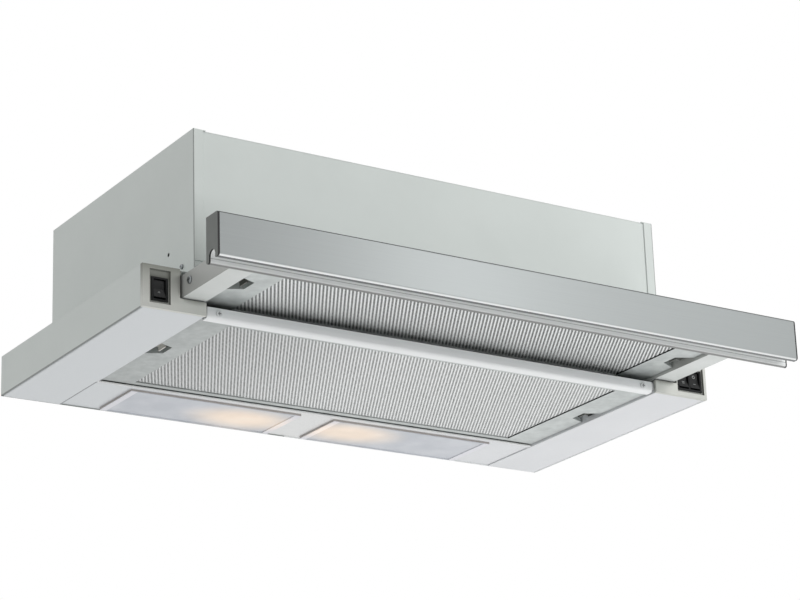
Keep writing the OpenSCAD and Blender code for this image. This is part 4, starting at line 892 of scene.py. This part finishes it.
def last_sheet(name, opening, z):
    """A sheet 0.3 mm thick at height z whose margin is folded up."""
    x_from, y_from, x_to, y_to = opening
    wide, long = x_to - x_from, y_to - y_from
    piece = begin(bpy.ops.mesh.primitive_plane_add, name, size=1, location=(0, 0, 0))
    bpy.ops.transform.resize(value=(wide, long, 1), center_override=(0, 0, 0))
    bpy.ops.transform.translate(value=((x_from + x_to) / 2, (y_from + y_to) / 2, z + FOLD_UP))
    bpy.ops.mesh.inset(thickness=MARGIN)
    bpy.ops.transform.translate(value=(0, 0, -FOLD_UP))
    settle(piece, [("SOLIDIFY", {"thickness": SHEET_T, "offset": 0.0})])
    wear(piece, finishes["filter_mesh"])
    return piece


print("fields and sheets can be made")

# %% Three layers in the base filter and three in the visor filter
LONG = 6.4 * MM
OUTER_Z, INNER_Z, LAST_Z = 0.1 * MM, 0.9 * MM, 1.3 * MM
TRIM = 0.7 * MM


def filter_layers(node, body, wide, strands):
    """Fills a filter's frame with its layers, from the CAD's own depth upwards."""
    low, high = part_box(node)
    opening = low[0], low[1], high[0] - TRIM, high[1] - TRIM
    outer = expanded_field(body + "_outer_layer", opening, low[2] + OUTER_Z, wide, LONG,
                           strands, "mesh_strands")
    inner = expanded_field(body + "_inner_layer", opening, low[2] + INNER_Z, wide, LONG,
                           strands[::-1], "inner_strands")
    sheet = last_sheet(body + "_last_layer", (low[0], low[1], high[0], high[1]), high[2] - LAST_Z)
    for layer in (outer, inner, sheet):
        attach(layer, body)
        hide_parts(node)


filter_layers("base_filter_mesh", "base_filter", 3.4 * MM, (0.44, 0.42))
filter_layers("visor_filter_mesh", "visor_filter", 3.62 * MM, (0.46, 0.16))

# %% [markdown]
# ## Marks on the rockers
#
# Rockers carry pad-printed signs: a ring for off and short bars for the steps. Print is a film of
# ink, so each sign is a thin raised shape on the rocker's face. Rings start as a disc
# whose face is inset and deleted, bars as a plane with bevelled corners, and both get their
# thickness by extruding. They are laid on the face by its tilt, and ride on the rocker.

# %% Grey ink
finishes["ink"] = moulded("grey_pad_printing_ink", "#9DA09F", "#939695", 0.6, 0.005, (0.40, 0.50), 0.05, 5)
print("made", finishes["ink"].name)

# %% Rings and bars laid on a rocker
INK = 0.08 * MM
ROCKER_TILT = math.radians(16)


def lay_mark(piece, x, y, z, tilt, body):
    """Turns a mark from the floor plane onto a rocker's face at x, y, z and lets it ride there."""
    bpy.ops.mesh.select_all(action="SELECT")
    bpy.ops.mesh.extrude_region_move(TRANSFORM_OT_translate={"value": (0, 0, INK)})
    bpy.ops.object.mode_set(mode="OBJECT")
    turn = Matrix.Translation((x, y, z)) @ Matrix.Rotation(math.pi / 2 + tilt, 4, "X")
    piece.data.transform(turn)
    recalculate(piece)
    wear(piece, finishes["ink"])
    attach(piece, body)
    return piece


def ring_mark(name, radius, width, **where):
    piece = begin(bpy.ops.mesh.primitive_circle_add, name, vertices=28, radius=radius,
                  fill_type="NGON", location=(0, 0, 0))
    bpy.ops.mesh.inset(thickness=width)
    bpy.ops.mesh.delete(type="FACE")
    return lay_mark(piece, **where)


def bar_mark(name, length, width, **where):
    piece = begin(bpy.ops.mesh.primitive_plane_add, name, size=1, location=(0, 0, 0))
    bpy.ops.transform.resize(value=(length, width, 1), center_override=(0, 0, 0))
    bpy.ops.mesh.bevel(offset=width * 0.3, segments=2, affect="VERTICES")
    return lay_mark(piece, **where)


# A rocker's face stands upright at UPPER_Y down to TURN_Z, where it turns outwards.
UPPER_Y, TURN_Z = -138.869 * MM, -20.255 * MM


def face_y(z):
    """The y of a rocker's front face at height z: upright above TURN_Z, tilted out below it."""
    return UPPER_Y if z >= TURN_Z else UPPER_Y + (z - TURN_Z) * math.tan(ROCKER_TILT)


print("the face turns at", round(TURN_Z / MM, 2), "mm")

# %% The signs of the three rockers
LIGHT_X, INNER_X, OUTER_X = -282.7 * MM, 272.9 * MM, 286.3 * MM
SMALL_RING, FAN_RING, BAR = (1.1 * MM, 0.4 * MM), (1.6 * MM, 0.55 * MM), (2.6 * MM, 0.6 * MM)


def on_face(x, z, body):
    """Where a sign lies: on the upright half of a rocker's face, or on its tilted half."""
    return {"x": x, "y": face_y(z), "z": z, "tilt": 0 if z >= TURN_Z else ROCKER_TILT, "body": body}


marks = [
    ring_mark("light_rocker_ring", *SMALL_RING, **on_face(LIGHT_X, -23.9 * MM, "light_rocker")),
    ring_mark("fan_rocker_inner_ring", *FAN_RING, **on_face(INNER_X, -16.3 * MM, "fan_rocker_inner")),
    ring_mark("fan_rocker_outer_ring", *FAN_RING, **on_face(OUTER_X, -16.3 * MM, "fan_rocker_outer")),
    bar_mark("fan_rocker_inner_bar_one", *BAR, **on_face(INNER_X, -22.6 * MM, "fan_rocker_inner")),
    bar_mark("fan_rocker_inner_bar_two", *BAR, **on_face(INNER_X, -24.1 * MM, "fan_rocker_inner")),
    bar_mark("fan_rocker_outer_bar", *BAR, **on_face(OUTER_X, -23.6 * MM, "fan_rocker_outer")),
]
print("printed", len(marks), "signs")

# %% [markdown]
# ## The room: a pale floor, soft light and the camera
#
# The hood hangs as under its cabinet, 1.5 m over a plain pale floor. The floor's upper side is
# solid, and its underside is clear, so that the hood is seen from far below too.
# The world is white where the camera, a reflection or clear plastic looks at it, and a softer grey
# where it only lights. One large softbox stands to the front right, as the photograph's
# shading says, and one lies below and lifts the underside. Brushed steel shows what it reflects,
# so a narrow softbox stands where the middle of the fascia mirrors it, with a wider one on its
# right, and the two big ones stay out of reflections.

# %% The floor
FLOOR_DOWN = 1.5
# How much of the floor is plain white for the camera, and for a reflection.
CAMERA_WHITE, MIRROR_WHITE = 0.6, 0.95


def pale_floor():
    finish = bpy.data.materials.new("matte_pale_floor")
    finish.use_nodes = True
    finish.node_tree.nodes.clear()
    place = add(finish, "TexCoord").outputs["Object"]
    patches = add(finish, "TexNoise", links={"Vector": place}, Scale=1.5, Detail=2.0)
    tone = blend(finish, patches.outputs["Fac"], "#EDEDEC", "#F1F1F0")
    matte = add(finish, "BsdfDiffuse", links={"Color": tone})
    white = add(finish, "Emission", Color=(1, 1, 1, 1), Strength=1.0)
    clear = add(finish, "BsdfTransparent")
    path = add(finish, "LightPath")
    seen = maths(finish, "MULTIPLY", path.outputs["Is Camera Ray"], CAMERA_WHITE)
    lift = maths(finish, "MULTIPLY_ADD", path.outputs["Is Glossy Ray"], MIRROR_WHITE, seen)
    front = add(finish, "MixShader", links={0: lift, 1: matte.outputs[0], 2: white.outputs[0]})
    back = add(finish, "NewGeometry").outputs["Backfacing"]
    both = add(finish, "MixShader", links={0: back, 1: front.outputs[0], 2: clear.outputs[0]})
    add(finish, "OutputMaterial", links={"Surface": both.outputs[0]})
    return finish


floor = begin(bpy.ops.mesh.primitive_plane_add, "floor", size=14, location=(0, 0, -FLOOR_DOWN))
bpy.ops.mesh.subdivide(number_cuts=3)
settle(floor)
wear(floor, pale_floor())
print("floor at", floor.data.vertices[0].co.z, "m")

# %% The world
WORLD_LEVEL = 0.62
world = bpy.data.worlds.new("studio")
bpy.context.scene.world = world
world.use_nodes = True
world.node_tree.nodes.clear()
path = add(world, "LightPath")
seen = maths(world, "MAXIMUM", path.outputs["Is Camera Ray"], path.outputs["Is Glossy Ray"])
seen = maths(world, "MAXIMUM", seen, path.outputs["Is Transmission Ray"])
level = ramp(world, seen, 0.0, 1.0, WORLD_LEVEL, 1.0)
sky = add(world, "Background", links={"Strength": level}, Color=(1, 1, 1, 1))
add(world, "OutputWorld", links={"Surface": sky.outputs[0]})
print("the world lights at", WORLD_LEVEL)

# %% Lamps of the studio
def softbox(name, place, aim, width, height, watts):
    """A rectangular area light at place that looks at aim; the camera doesn't see it."""
    data = bpy.data.lights.new(name, "AREA")
    data.shape, data.size, data.size_y, data.energy = "RECTANGLE", width, height, watts
    lamp = bpy.data.objects.new(name, data)
    bpy.context.collection.objects.link(lamp)
    lamp.location = place
    lamp.rotation_euler = (Vector(aim) - Vector(place)).to_track_quat("-Z", "Y").to_euler()
    lamp.visible_camera = False
    return lamp


key = softbox("key_front_right", (1.3, -1.5, 0.6), (0.1, -0.2, 0.0), 1.0, 1.0, 16)
under = softbox("fill_below", (0.8, -0.3, -1.35), (0.05, -0.1, 0.0), 1.8, 1.4, 14)
mirror_box = softbox("softbox_in_the_fascia", (0.97, -1.83, 0.66), (-0.06, -0.27, 0.0), 0.2, 1.5, 1.35)
mirror_side = softbox("softbox_beside_it", (1.3, -1.75, 0.64), (0.05, -0.27, 0.0), 0.7, 1.5, 1.6)
key.visible_glossy = under.visible_glossy = False
for lamp in (key, under, mirror_box, mirror_side):
    print(lamp.name, round(lamp.data.energy, 1), "W")

# %% [markdown]
# ### Camera
#
# The camera was fitted to corners of the hood in the photograph: from the left and from
# below, with a long lens and a small roll. Its three axes are written out as columns.

# %% The camera
LENS_MM, SENSOR_MM = 117.672, 36.0
NEAR, FAR = 0.05, 60.0
CAMERA_PLACE = (-1.23569, -1.97414, -0.75656)
lens = bpy.data.cameras.new("camera")
lens.lens, lens.sensor_width = LENS_MM, SENSOR_MM
lens.clip_start, lens.clip_end = NEAR, FAR
camera = bpy.data.objects.new("camera", lens)
bpy.context.collection.objects.link(camera)
right = Vector((0.84394783, -0.53547312, -0.03194674))
up = Vector((-0.1514269, -0.294947, 0.94343848))
back = Vector((-0.51460854, -0.79137527, -0.33000491))
axes = Matrix((right, up, back)).transposed().to_4x4()
camera.matrix_world = Matrix.Translation(CAMERA_PLACE) @ axes
bpy.context.scene.camera = camera
bpy.context.scene.view_settings.view_transform = "Standard"
print("camera at", [round(v, 3) for v in camera.location], "lens", lens.lens, "mm")
